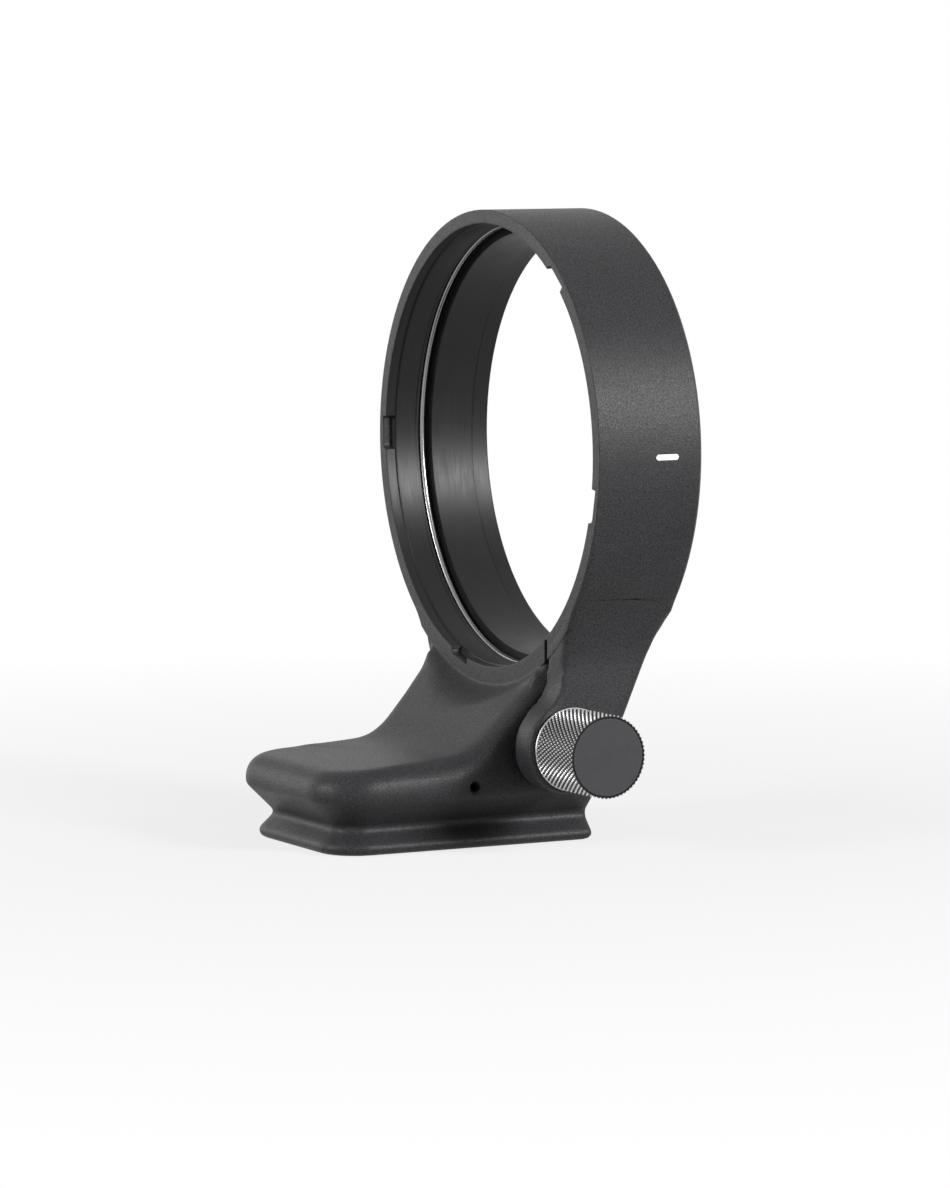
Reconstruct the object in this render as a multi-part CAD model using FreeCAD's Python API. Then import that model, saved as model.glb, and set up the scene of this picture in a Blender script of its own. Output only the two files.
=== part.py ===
"""Detachable tripod collar for a telephoto lens.

The collar is one split-ring casting: ring, foot and clamp arm are a single piece of metal.  A slit
beside the foot lets the ring close on the lens when the knurled knob draws the arm in.
Millimetres, +X to the knob side, +Y to the rear along the lens axis, +Z up.  The origin lies on
the ring's axis at the middle of its width.
"""
import FreeCAD, Part
import math
import os

from FreeCAD import Vector as V

# Ring
bore_r = 40.9            # clear radius of the front lip
wall = 2.5               # radial thickness behind the lip
ring_width = 21.2
edge_chamfer = 0.6       # outer rear edge, and the outline of the clamp arm
lip_depth = 2.0          # axial depth of the front lip
band_step = 0.25         # the bore behind the lip is smaller by this
land_step = 1.2          # the rear land is smaller than the front lip by this
rear_land_depth = 3.5

# Lug notches through the front lip
notch_width = 6.3
notch_depth = 1.15
notch_round = 1.1
notches = ((50.0, 1), (180.0, 1), (255.0, -1), (348.0, -1))   # angle, and which end is rounded

# Friction wire and liner in the bore
wire_d = 1.15
wire_sides = 6
wire_groove = 0.85       # the groove starts this far in front of the wire's centre
wire_from_front = 7.75
wire_proud = 0.12        # the wire stands this far into the bore
liner_width = 8.6
liner_recess = 0.2       # the liner's seat is this much deeper than the bore in front of it
liner_proud = 0.45       # the liner stands this far inside the rear land
liner_gap = 0.10         # axial clearance on each side of the liner
split_gap_deg = 7.0      # opening of liner and wire at the slit
seat_gap = 0.02          # fit between a seated piece and its recess

# Index mark on the outside
mark_length = 4.6
mark_height = 1.05
mark_depth = 0.4
mark_from_front = 13.9

# Foot
dovetail_half = 19.0
dovetail_edge = 1.7      # height of the vertical edge
lower_flank = 3.0        # 45 degree flanks, height and depth alike
upper_flank = 5.4
dovetail_corner = 7.6    # plan radius of the front corners
bottom_chamfer = 0.8
foot_drop = 28.5         # from the ring's lowest point down to the flat face
foot_ahead = 40.5        # the dovetail reaches this far in front of the ring
foot_length = 52.8
upright = 8.2            # height over which the sides are upright
flare = 3.2              # they lean out by this up to the waist
waist_rise = 3.4         # the waist is this far above the ring's lowest point
waist_bow = 0.9          # hollow of the blend from waist to ring
blend_at = math.radians(41.3)   # the blend meets the ring this far from straight down
ease_share = 0.8         # share of the waist's height over which the right side eases out
toe_rise = 0.055         # slope of the foot's top
heel_height = 6.9        # where that slope meets the rising saddle, above the dovetail
saddle_deg = 50.0
saddle_rise = 2.2        # the saddle meets the upright web this far above the ring's lowest point
saddle_blend = 13.0
web_blend = 2.4
web_step = 0.3           # the web stands this far behind the ring's front face
face_over = 1.0          # the machined face over the web is larger than the ring by this
face_depth = 3.0
scallop_slope = 0.95     # radius gained for each millimetre forward
back_height = 3.8        # upright part of the back, above the dovetail
back_rise = 6.4          # top of the leaning back, above the ring's lowest point
back_blend = 4.0
back_foot_blend = 3.0
toe_round = 4.2
ridge_round = 1.1
ridge_from = 15.0        # the rounding narrows from this far in front of the ring
ridge_to = 3.0           # to this far in front of it

# Slit and clamp arm
slit_beyond = 1.4        # the slit is this far outside the foot's upper body
slit_width = 1.0
arm_thick = 6.2
arm_blend = 20.0         # concave blend from the ring to the arm
lobe_r = 8.4
front_bend_rise = 2.1    # the front edge leaves the ring's front plane here, above its lowest point
rear_bend_rise = 14.6
arm_from = math.radians(-20.0)   # the arm grows out of the ring below this angle

# Clamp screw line
knob_from_front = 1.45   # behind the ring's front face
knob_drop = 9.8          # below the ring's lowest point
stud_d = 5.0
knob_travel = 1.2        # the knob backs off by this
bush_wall = 1.0
bush_flange_r = 4.6
bush_flange = 0.6
running_fit = 0.05
stud_hold = 10.0         # length of the stud in the foot
stud_room = 2.4          # free hole beyond its tip
tip_cone = 1.4

# Knob
knob_r = 7.6
knob_reach = 14.0        # from the arm's face to the knob's outer end
knob_gap = 0.3           # knob to arm when clamped
knob_chamfer = 0.3
thrust_thick = 0.8
thrust_r = 5.9
hub_recess_r = 6.2
cap_r = 7.0
cap_thick = 0.9
drive_flat = 3.6         # across the stud's squared end
drive_length = 8.0

# Tripod thread bush in the foot, locked by a grub screw from the side
thread_bore_d = 5.2      # bore of the quarter inch thread
thread_depth = 11.5
bush_r = 6.0
bush_length = 13.4
bush_back = 27.2         # behind the dovetail's front end
side_hole_d = 2.0
side_hole_height = 11.6
grub_length = 6.0
grub_fit = 0.02
grub_key = 0.9
pin_hole_d = 5.6
pin_hole_depth = 5.0
pin_hole_offset = 15.0   # the pin hole lies in front of the thread by this

# Worked out from the above
front = -ring_width / 2.0
rear = ring_width / 2.0
ring_r = bore_r + wall
ring_low = -ring_r
rear_land_r = bore_r - land_step
band_r = bore_r - band_step
collar_face_r = ring_r + face_over
foot_bottom = ring_low - foot_drop
foot_front = front - foot_ahead
neck_half = dovetail_half - lower_flank
body_half = neck_half + upper_flank
edge_z = foot_bottom + dovetail_edge
neck_z = edge_z + lower_flank
body_z = neck_z + upper_flank
lean_z = body_z + upright
waist_z = ring_low + waist_rise
foot_rear = foot_front + foot_length
body_front = foot_front - (body_half - dovetail_half)
body_corner = dovetail_corner + (body_half - dovetail_half)
slit_x = body_half + slit_beyond
arm_inner = slit_x + slit_width
arm_face = arm_inner + arm_thick
arm_rear_bend = ring_low + rear_bend_rise
knob_y = front + knob_from_front
knob_z = ring_low - knob_drop
knob_end = arm_face + knob_reach
bush_y = foot_front + bush_back
side_hole_z = foot_bottom + side_hole_height
wire_y = front + wire_from_front
liner_y0 = rear - rear_land_depth - liner_width - liner_gap
liner_r = rear_land_r - liner_proud
recess_r = band_r + liner_recess
wire_ring_r = band_r - wire_proud + wire_d / 2.0
slit_deg = math.degrees(math.atan2(-math.sqrt(bore_r ** 2 - arm_inner ** 2), slit_x + slit_width / 2))
knob_back = arm_face + knob_gap
thrust_x = arm_face + bush_flange
seat_x = thrust_x + thrust_thick
drive_end = seat_x + drive_length
cap_x = knob_end - cap_thick
stud_r = stud_d / 2.0
bush_bore_r = stud_r + running_fit
stud_tip = body_half - stud_hold


def rod(radius, x0, x1, y=knob_y, z=knob_z):
    """Cylinder along X."""
    return Part.makeCylinder(radius, x1 - x0, V(x0, y, z), V(1, 0, 0))


def disc(radius, y0, y1):
    """Cylinder about the ring's axis."""
    return Part.makeCylinder(radius, y1 - y0, V(0, y0, 0), V(0, 1, 0))


def post(radius, z0, z1, x=0.0, y=0.0):
    """Upright cylinder."""
    return Part.makeCylinder(radius, z1 - z0, V(x, y, z0), V(0, 0, 1))


def block(x0, x1, y0, y1, z0, z1):
    """Box between two corners."""
    return Part.makeBox(x1 - x0, y1 - y0, z1 - z0, V(x0, y0, z0))


def turned(points):
    """Solid turned about the ring's axis from (radius, y) corners."""
    wire = Part.makePolygon([V(r, y, 0) for r, y in points + points[:1]])
    return Part.Face(wire).revolve(V(0, 0, 0), V(0, 1, 0), 360)


def turned_on_screw(points):
    """Solid turned about the clamp screw's axis from (x, radius) corners."""
    wire = Part.makePolygon([V(x, knob_y + r, knob_z) for x, r in points + points[:1]])
    return Part.Face(wire).revolve(V(0, knob_y, knob_z), V(1, 0, 0), 360)


def arc(centre, radius, a0, a1, plane):
    """Arc from angle a0 to a1 in radians, with plane turning two coordinates into a point."""
    def at(a):
        return plane(centre[0] + radius * math.cos(a), centre[1] + radius * math.sin(a))
    return Part.Arc(at(a0), at((a0 + a1) / 2.0), at(a1)).toShape()


def rounded(corners, plane):
    """Closed wire through (u, v, radius) corners, each rounded by its own radius."""
    edges, last = [], None
    count = len(corners)
    starts = []
    for i, (u, v, radius) in enumerate(corners):
        p = V(u, v, 0)
        a = V(*corners[i - 1][:2], 0) - p
        b = V(*corners[(i + 1) % count][:2], 0) - p
        half = a.getAngle(b) / 2.0
        a.normalize()
        b.normalize()
        if radius <= 0:
            starts.append((p, None, p))
            continue
        reach = radius / math.tan(half)
        middle = a + b
        middle.normalize()
        tip = p + middle * (radius / math.sin(half) - radius)
        starts.append((p + a * reach, tip, p + b * reach))
    for i, (enter, tip, leave) in enumerate(starts):
        if tip is not None:
            edges.append(Part.Arc(*(plane(q.x, q.y) for q in (enter, tip, leave))).toShape())
        last = starts[(i + 1) % count][0]
        if (last - leave).Length > 1e-6:
            edges.append(Part.makeLine(plane(leave.x, leave.y), plane(last.x, last.y)))
    return Part.Wire(Part.__sortEdges__(edges))


def side_view(y, z):
    """Point of the side view, on the plane X = 0."""
    return V(0, y, z)


def front_view(x, z):
    """Point of the front view, on the plane Y = 0."""
    return V(x, 0, z)


def foot_plan(half, z):
    """Outline of the foot at one height: front corners rounded, rear end square."""
    grow = half - dovetail_half
    y0 = foot_front - grow
    r = dovetail_corner + grow
    corners = [(-half, foot_rear, 0), (-half, y0, r), (half, y0, r), (half, foot_rear, 0)]
    return rounded(corners, lambda x, y: V(x, y, z))


def layer(half0, z0, half1, z1):
    """Slab of the foot between two outlines, straight from one to the other."""
    return Part.makeLoft([foot_plan(half0, z0), foot_plan(half1, z1)], True, True)


def dovetail():
    """Lower part of the foot: edge, lower flank, neck and upper flank."""
    rail = layer(dovetail_half, foot_bottom, dovetail_half, edge_z)
    low = [e for e in rail.Edges if abs(e.BoundBox.ZMax - foot_bottom) < 1e-6]
    rail = rail.makeChamfer(bottom_chamfer, low)
    rail = rail.fuse(layer(dovetail_half, edge_z, neck_half, neck_z))
    return rail.fuse(layer(neck_half, neck_z, body_half, body_z))


def foot_section():
    """Front view of the foot's upper body, up to where it blends into the ring.

    The left side leans out in one hollow arc and blends into the ring; the right side eases out to
    the plane of the slit and follows it up.
    """
    rise = waist_z - lean_z
    lean_r = (rise ** 2 + flare ** 2) / (2.0 * flare)
    waist = body_half + flare
    mid = body_half + lean_r - math.sqrt(lean_r ** 2 - (rise / 2.0) ** 2)
    top = V(-ring_r * math.sin(blend_at), 0, -ring_r * math.cos(blend_at))
    foot_l, foot_r = V(-body_half, 0, body_z), V(body_half, 0, body_z)
    lean_l, waist_l = V(-body_half, 0, lean_z), V(-waist, 0, waist_z)
    bow = (waist_l + top) * 0.5 + V(waist_bow, 0, -waist_bow / 2.0)
    out = slit_x - body_half
    half = rise * ease_share / 2.0
    ease_r = (half ** 2 + (out / 2.0) ** 2) / out
    turn = math.asin(half / ease_r)
    low_c, high_c = (body_half + ease_r, lean_z), (slit_x - ease_r, lean_z + 2.0 * half)
    shoulder = V(slit_x, 0, lean_z + 2.0 * half)
    edges = [
        Part.makeLine(foot_l, lean_l),
        Part.Arc(lean_l, V(-mid, 0, lean_z + rise / 2.0), waist_l).toShape(),
        Part.Arc(waist_l, bow, top).toShape(),
        Part.makeLine(top, V(slit_x, 0, top.z)),
        Part.makeLine(V(slit_x, 0, top.z), shoulder),
        arc(high_c, ease_r, -turn, 0.0, front_view),
        arc(low_c, ease_r, math.pi - turn, math.pi, front_view),
        Part.makeLine(V(body_half, 0, lean_z), foot_r),
        Part.makeLine(foot_r, foot_l),
    ]
    return Part.Wire(Part.__sortEdges__(edges))


def foot_side():
    """Side view of the foot's upper body: toe, rising saddle, upright web and leaning back."""
    web = front + web_step
    heel_z, saddle_top = body_z + heel_height, ring_low + saddle_rise
    bend_y = web - (saddle_top - heel_z) / math.tan(math.radians(saddle_deg))
    inside = ring_low * math.cos(blend_at)
    corners = [
        (body_front, body_z, 0),
        (body_front, heel_z - toe_rise * (bend_y - body_front), 0),
        (bend_y, heel_z, saddle_blend),
        (web, saddle_top, web_blend),
        (web, inside, 0),
        (rear, inside, 0),
        (rear, ring_low + back_rise, back_blend),
        (foot_rear, body_z + back_height, back_foot_blend),
        (foot_rear, body_z, 0),
    ]
    return rounded(corners, side_view)


def toe_corner(s):
    """What is cut from one front corner of the foot's upper body."""
    x, y = body_half - body_corner, body_front + body_corner
    x0, x1 = sorted((s * x, s * (body_half + flare)))
    square = block(x0, x1, body_front, y, body_z, ring_low)
    return square.cut(post(body_corner, body_z, ring_low, s * x, y))


def foot_width():
    """The foot's front view drawn out along the whole part."""
    wide = Part.Face(foot_section()).extrude(V(0, rear - body_front, 0))
    wide.translate(V(0, body_front, 0))
    return wide


def foot_body():
    """Upper part of the foot with its saddle and toe."""
    deep = Part.Face(foot_side()).extrude(V(2.0 * ring_r, 0, 0))
    deep.translate(V(-ring_r, 0, 0))
    body = foot_width().common(deep)
    for s in (1, -1):
        body = body.cut(toe_corner(s))
    return body


def rim_radius(y):
    """Rounding of the foot's rim: full on the toe, down to a fine ridge at the ring."""
    start, end = front - ridge_from, front - ridge_to
    share = min(1.0, max(0.0, (y - start) / (end - start)))
    return toe_round + (ridge_round - toe_round) * share


def is_rim(e):
    """Edges along the top of the foot, from the toe up both sides of the saddle to the ring."""
    box = e.BoundBox
    if box.YMin > front + web_step - 1e-6 and box.XLength > 1e-6:
        return False
    across = box.XLength > 2.0 * (body_half - body_corner) - 1e-6 and box.YMin > body_front + 1e-6
    return box.ZMin > body_z + 1e-6 and box.YMax < front + web_step + 1e-6 and not across


def soft_foot():
    """The foot's upper body with its rim rounded, full at the toe and fine at the ring."""
    body = foot_body()
    doc = FreeCAD.newDocument("rim")
    base = doc.addObject("Part::Feature", "Base")
    base.Shape = body
    rim = doc.addObject("Part::Fillet", "Rim")
    rim.Base = base
    rows = []
    for i, e in enumerate(body.Edges, 1):
        if is_rim(e):
            a, b = (rim_radius(v.Point.y) for v in (e.firstVertex(True), e.lastVertex(True)))
            rows.append((i, a, b))
    rim.Edges = rows
    doc.recompute()
    shape = rim.Shape.copy()
    FreeCAD.closeDocument(doc.Name)
    return shape


def scallop():
    """Clears the lens in front of the ring: a cone that opens forward from the collar's face."""
    reach = 14.0
    return turned([(0.0, front - reach), (collar_face_r + scallop_slope * reach, front - reach),
                   (collar_face_r, front + web_step), (0.0, front + web_step)])


def ring():
    """The plain ring with its rear edge broken, still solid inside."""
    c = edge_chamfer
    return turned([(0.0, front), (ring_r, front), (ring_r, rear - c), (ring_r - c, rear), (0.0, rear)])


def bore():
    """Everything that is turned out of the ring, as one solid to cut."""
    lip, land = front + lip_depth, rear - rear_land_depth
    groove = wire_y - wire_groove
    groove_r = wire_ring_r + wire_d / 2.0 + seat_gap
    seat, seat_r = liner_y0 - liner_gap, recess_r + seat_gap
    return turned([
        (0.0, front - 1.0), (bore_r, front - 1.0), (bore_r, lip), (band_r, lip), (band_r, groove),
        (groove_r, groove), (groove_r, seat), (seat_r, seat), (seat_r, land), (rear_land_r, land),
        (rear_land_r, rear + 1.0), (0.0, rear + 1.0)])


def notch(angle, round_end):
    """One lug notch through the lip, with one of its floor corners rounded."""
    half = notch_width / 2.0
    top = bore_r + notch_depth
    radii = (0, 0, notch_round, 0) if round_end > 0 else (0, notch_round, 0, 0)
    corners = [(bore_r - 3.0, -half), (top, -half), (top, half), (bore_r - 3.0, half)]
    wire = rounded([(r, t, q) for (r, t), q in zip(corners, radii)], front_view)
    cut = Part.Face(wire).extrude(V(0, lip_depth + 1.0, 0))
    cut.translate(V(0, front - 1.0, 0))
    cut.rotate(V(0, 0, 0), V(0, 1, 0), -angle)
    return cut


def arm_outline():
    """Side view of the arm: flush with the ring above, drawn in to the lobe around the screw."""
    centre = V(knob_y, knob_z, 0)

    def tangent(y, z, side):
        """Where the line from a point touches the lobe, on one side of it."""
        away = V(y, z, 0) - centre
        swing = side * math.acos(lobe_r / away.Length)
        a = math.atan2(away.y, away.x) + swing
        return centre + V(math.cos(a), math.sin(a), 0) * lobe_r

    arm_front_bend = ring_low + front_bend_rise
    fore = tangent(front, arm_front_bend, 1)
    aft = tangent(rear, arm_rear_bend, -1)
    low = V(knob_y, knob_z - lobe_r, 0)
    lines = [(fore, V(front, arm_front_bend, 0)), (V(front, arm_front_bend, 0), V(front, 0, 0)),
             (V(front, 0, 0), V(rear, 0, 0)), (V(rear, 0, 0), V(rear, arm_rear_bend, 0)),
             (V(rear, arm_rear_bend, 0), aft)]
    edges = [Part.makeLine(side_view(p.x, p.y), side_view(q.x, q.y)) for p, q in lines]
    edges.append(Part.Arc(*(side_view(p.x, p.y) for p in (aft, low, fore))).toShape())
    return Part.Wire(Part.__sortEdges__(edges))


def arm_section():
    """Front view of the arm: it leaves the ring's outside in a concave blend and runs straight down."""
    x_blend = arm_face + arm_blend
    far = ring_r + arm_blend
    z_blend = -math.sqrt(far ** 2 - x_blend ** 2)
    join = V(x_blend, 0, z_blend) * (ring_r / far)
    tail = knob_z - lobe_r - 1.0
    inside = bore_r + wall / 4.0
    start = V(arm_inner, 0, -math.sqrt(inside ** 2 - arm_inner ** 2))
    up = arm_from
    a0 = math.atan2(start.z, start.x)
    a1 = math.atan2(join.z, join.x)
    b0, b1 = math.atan2(join.z - z_blend, join.x - x_blend), math.pi
    edges = [
        arc((0, 0), inside, a0, up, front_view),
        Part.makeLine(V(inside * math.cos(up), 0, inside * math.sin(up)),
                      V(ring_r * math.cos(up), 0, ring_r * math.sin(up))),
        arc((0, 0), ring_r, up, a1, front_view),
        arc((x_blend, z_blend), arm_blend, b0, b1, front_view),
        Part.makeLine(V(arm_face, 0, z_blend), V(arm_face, 0, tail)),
        Part.makeLine(V(arm_face, 0, tail), V(arm_inner, 0, tail)),
        Part.makeLine(V(arm_inner, 0, tail), start),
    ]
    return Part.Wire(Part.__sortEdges__(edges))


def is_arm_edge(e):
    """The arm's outer outline: down its rear, round the lobe and up to the ring's front plane."""
    box = e.BoundBox
    on_rear = box.YMin > rear - 1e-6 and box.ZLength > 1e-6
    on_face = box.XMin > arm_face - 1e-6 and box.YLength > 1e-6
    inner = box.XMin < arm_inner + 1e-6
    outside = Part.Vertex(0, rear, 0).distToShape(e)[0] > ring_r - 1e-3
    return (on_face or on_rear and outside) and not inner


def arm():
    """The clamp arm, which is cast with the ring and free of the foot below the slit."""
    length = rear - knob_y + lobe_r
    wide = Part.Face(arm_section()).extrude(V(0, length, 0))
    wide.translate(V(0, rear - length, 0))
    deep = Part.Face(arm_outline()).extrude(V(ring_r + arm_face, 0, 0))
    body = wide.common(deep)
    return body.makeChamfer(edge_chamfer, [e for e in body.Edges if is_arm_edge(e)])


def mark_slot(depth):
    """Rounded slot for the index mark, cut from the +X side."""
    y, r = front + mark_from_front, mark_height / 2.0
    half = mark_length / 2.0 - r
    x0 = ring_r - depth
    ends = [rod(r, x0, ring_r + 1.0, y + s * half, 0.0) for s in (-1, 1)]
    return block(x0, ring_r + 1.0, y - half, y + half, -r, r).fuse(ends).removeSplitter()


def foot_holes():
    """Holes for the stud, the tripod bush, its lock screw and the camera pin."""
    stud = rod(bush_bore_r, stud_tip - stud_room, arm_inner)
    side = rod(side_hole_d / 2.0, 0.0, body_half + flare, bush_y, side_hole_z)
    bush = post(bush_r + seat_gap, foot_bottom - 1.0, foot_bottom + bush_length + seat_gap, 0.0, bush_y)
    pin = post(pin_hole_d / 2.0, foot_bottom - 1.0, foot_bottom + pin_hole_depth, 0.0,
               bush_y - pin_hole_offset)
    return [stud, side, bush, pin]


def collar_casting():
    """Ring, foot and arm in one piece, with all that is machined into it."""
    foot = soft_foot().cut(scallop())
    face = disc(collar_face_r, front, front + face_depth)
    body = ring().fuse(foot).fuse(face.common(foot_width())).fuse(dovetail())
    body = body.cut(block(slit_x, arm_inner, body_front, rear, foot_bottom, 0))
    body = body.fuse(arm()).cut(bore())
    for angle, round_end in notches:
        body = body.cut(notch(angle, round_end))
    for hole in foot_holes():
        body = body.cut(hole)
    body = body.cut(rod(bush_bore_r + bush_wall + seat_gap, arm_inner - 0.1, arm_face + 0.1))
    body = body.cut(mark_slot(mark_depth))
    return body.removeSplitter()


def swept_ring(profile_points, gap_deg):
    """Split ring about the lens axis from (radius, y) corners, open at the slit by gap_deg."""
    wire = Part.makePolygon([V(r, y, 0) for r, y in profile_points + profile_points[:1]])
    solid = Part.Face(wire).revolve(V(0, 0, 0), V(0, -1, 0), 360.0 - gap_deg)
    solid.rotate(V(0, 0, 0), V(0, -1, 0), slit_deg + gap_deg / 2.0)
    return solid


def liner():
    """Plastic strip that lies in the bore and takes the clamping force."""
    return swept_ring([(liner_r, liner_y0), (recess_r, liner_y0), (recess_r, liner_y0 + liner_width),
                       (liner_r, liner_y0 + liner_width)], split_gap_deg)


def friction_wire():
    """Spring wire in its groove in front of the liner, with a few flats for its round section."""
    turns = [2.0 * math.pi * (k + 0.5) / wire_sides for k in range(wire_sides)]
    r = wire_d / 2.0
    return swept_ring([(wire_ring_r + r * math.cos(a), wire_y + r * math.sin(a)) for a in turns],
                      split_gap_deg)


def index_mark():
    """White inlay, flush with the ring's outside."""
    return mark_slot(mark_depth - seat_gap).common(disc(ring_r, front, rear))


def arm_bush():
    """Flanged bush in the arm; the stud runs in it."""
    outer, x1 = bush_bore_r + bush_wall, arm_face + bush_flange
    return turned_on_screw([(arm_inner, bush_bore_r), (arm_inner, outer), (arm_face, outer),
                            (arm_face, bush_flange_r), (x1, bush_flange_r), (x1, bush_bore_r)])


def clamp_stud():
    """Threaded stud with a pointed tip and a squared drive end."""
    stud = turned_on_screw([(stud_tip, 0.0), (stud_tip, stud_r - tip_cone), (stud_tip + tip_cone, stud_r),
                            (seat_x, stud_r), (seat_x, 0.0)])
    half = drive_flat / 2.0
    square = block(seat_x, drive_end, knob_y - half, knob_y + half, knob_z - half, knob_z + half)
    return stud.fuse(square.common(rod(stud_r, seat_x, drive_end)))


def thrust_washer():
    """Flat washer on the stud between the arm's bush and the knob."""
    x0, x1 = thrust_x, thrust_x + thrust_thick
    return rod(thrust_r, x0, x1).cut(rod(stud_r + 2.0 * running_fit, x0 - 1.0, x1 + 1.0))


def hexagon(across, x0, x1, y, z):
    """Hexagonal prism along X for a key socket."""
    r = across / math.sqrt(3.0)
    corners = [V(x0, y + r * math.cos(k * math.pi / 3.0), z + r * math.sin(k * math.pi / 3.0))
               for k in range(7)]
    return Part.Face(Part.makePolygon(corners)).extrude(V(x1 - x0, 0, 0))


def knob_body():
    """Turned knob: hub recess and squared drive hole behind, cap seat in front."""
    c = knob_chamfer
    body = turned_on_screw([
        (seat_x, 0.0), (seat_x, hub_recess_r), (knob_back, hub_recess_r), (knob_back, knob_r - c),
        (knob_back + c, knob_r), (knob_end - c, knob_r), (knob_end, knob_r - c),
        (knob_end, cap_r + seat_gap), (cap_x, cap_r + seat_gap), (cap_x, 0.0)])
    half = drive_flat / 2.0 + seat_gap
    drive = block(seat_x - 1.0, drive_end + seat_gap, knob_y - half, knob_y + half,
                  knob_z - half, knob_z + half)
    return body.cut(drive.common(rod(stud_r + seat_gap, seat_x - 1.0, drive_end + seat_gap)))


def knob_cap():
    """Thin disc pressed into the knob's outer end."""
    return rod(cap_r, cap_x, knob_end)


def tripod_bush():
    """Steel bush with the tripod thread, screwed into the foot from below."""
    bush = post(bush_r, foot_bottom, foot_bottom + bush_length, 0.0, bush_y)
    return bush.cut(post(thread_bore_d / 2.0, foot_bottom - 1.0, foot_bottom + thread_depth, 0.0, bush_y))


def bush_lock_screw():
    """Grub screw that locks the tripod bush, deep in the small hole in the foot's side."""
    x0, x1 = bush_r + seat_gap, bush_r + seat_gap + grub_length
    grub = rod(side_hole_d / 2.0 - grub_fit, x0, x1, bush_y, side_hole_z)
    return grub.cut(hexagon(grub_key, x1 - 1.2, x1 + 1.0, bush_y, side_hole_z))


pieces = {
    "collar_casting": collar_casting,
    "bore_liner": liner,
    "friction_wire": friction_wire,
    "index_mark": index_mark,
    "arm_bush": arm_bush,
    "tripod_bush": tripod_bush,
    "bush_lock_screw": bush_lock_screw,
    "thrust_washer": thrust_washer,
    "clamp_stud": clamp_stud,
    "knob_body": knob_body,
    "knob_cap": knob_cap,
}

os.makedirs("parts", exist_ok=True)
for name, make in pieces.items():
    make().exportStep(os.path.join("parts", name + ".step"))
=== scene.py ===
"""Looks of a lens tripod collar: finishes, knurl and threads, on a fixed frame of solid parts.

Every object is in metres, in the frame of the parts: +X to the knob side, +Y to the rear along the
lens axis, +Z up, with the origin on the ring's axis at the middle of its width.
"""
import logging
import math
from dataclasses import dataclass
from enum import Enum
from typing import Callable, Iterable, Sequence

import bmesh
import bpy
import numpy as np
from mathutils import Matrix, Vector


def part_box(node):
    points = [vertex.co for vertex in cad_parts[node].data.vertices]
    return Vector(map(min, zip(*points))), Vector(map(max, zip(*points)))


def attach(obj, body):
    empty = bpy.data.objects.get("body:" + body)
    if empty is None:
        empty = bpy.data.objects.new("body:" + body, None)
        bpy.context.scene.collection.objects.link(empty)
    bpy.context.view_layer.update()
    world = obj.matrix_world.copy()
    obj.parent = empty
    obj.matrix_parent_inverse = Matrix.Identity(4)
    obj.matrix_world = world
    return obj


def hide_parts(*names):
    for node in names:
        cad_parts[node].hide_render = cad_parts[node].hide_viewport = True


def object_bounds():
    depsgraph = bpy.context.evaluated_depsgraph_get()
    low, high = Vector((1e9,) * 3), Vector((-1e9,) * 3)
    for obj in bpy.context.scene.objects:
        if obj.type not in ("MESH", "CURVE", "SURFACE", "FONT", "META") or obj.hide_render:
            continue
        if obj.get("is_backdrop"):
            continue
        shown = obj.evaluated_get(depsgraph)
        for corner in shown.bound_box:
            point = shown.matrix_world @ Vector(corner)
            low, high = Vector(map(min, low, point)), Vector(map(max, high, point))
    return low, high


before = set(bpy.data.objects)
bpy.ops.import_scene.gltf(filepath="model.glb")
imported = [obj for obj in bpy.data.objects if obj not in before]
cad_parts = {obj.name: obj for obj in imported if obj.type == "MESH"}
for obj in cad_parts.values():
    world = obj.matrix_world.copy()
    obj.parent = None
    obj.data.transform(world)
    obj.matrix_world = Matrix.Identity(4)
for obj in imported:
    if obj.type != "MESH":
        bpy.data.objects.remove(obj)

LOG = logging.getLogger("collar")
MM = 0.001
ROUND_SHARP = 40.0

Point = tuple[float, float, float]
Profile = Sequence[tuple[float, float]]


class Body(str, Enum):
    """The rigid bodies that pieces ride on."""

    COLLAR = "collar"
    WASHERS = "washers"
    KNOB = "knob"


class Axis(Enum):
    """The axis that a turned piece is turned about."""

    X = "x"
    Y = "y"
    Z = "z"


class Cut(Enum):
    """What a cut keeps: what lies outside the tool, or what lies in it."""

    OUTSIDE = "DIFFERENCE"
    INSIDE = "INTERSECT"


# Node graphs


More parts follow.
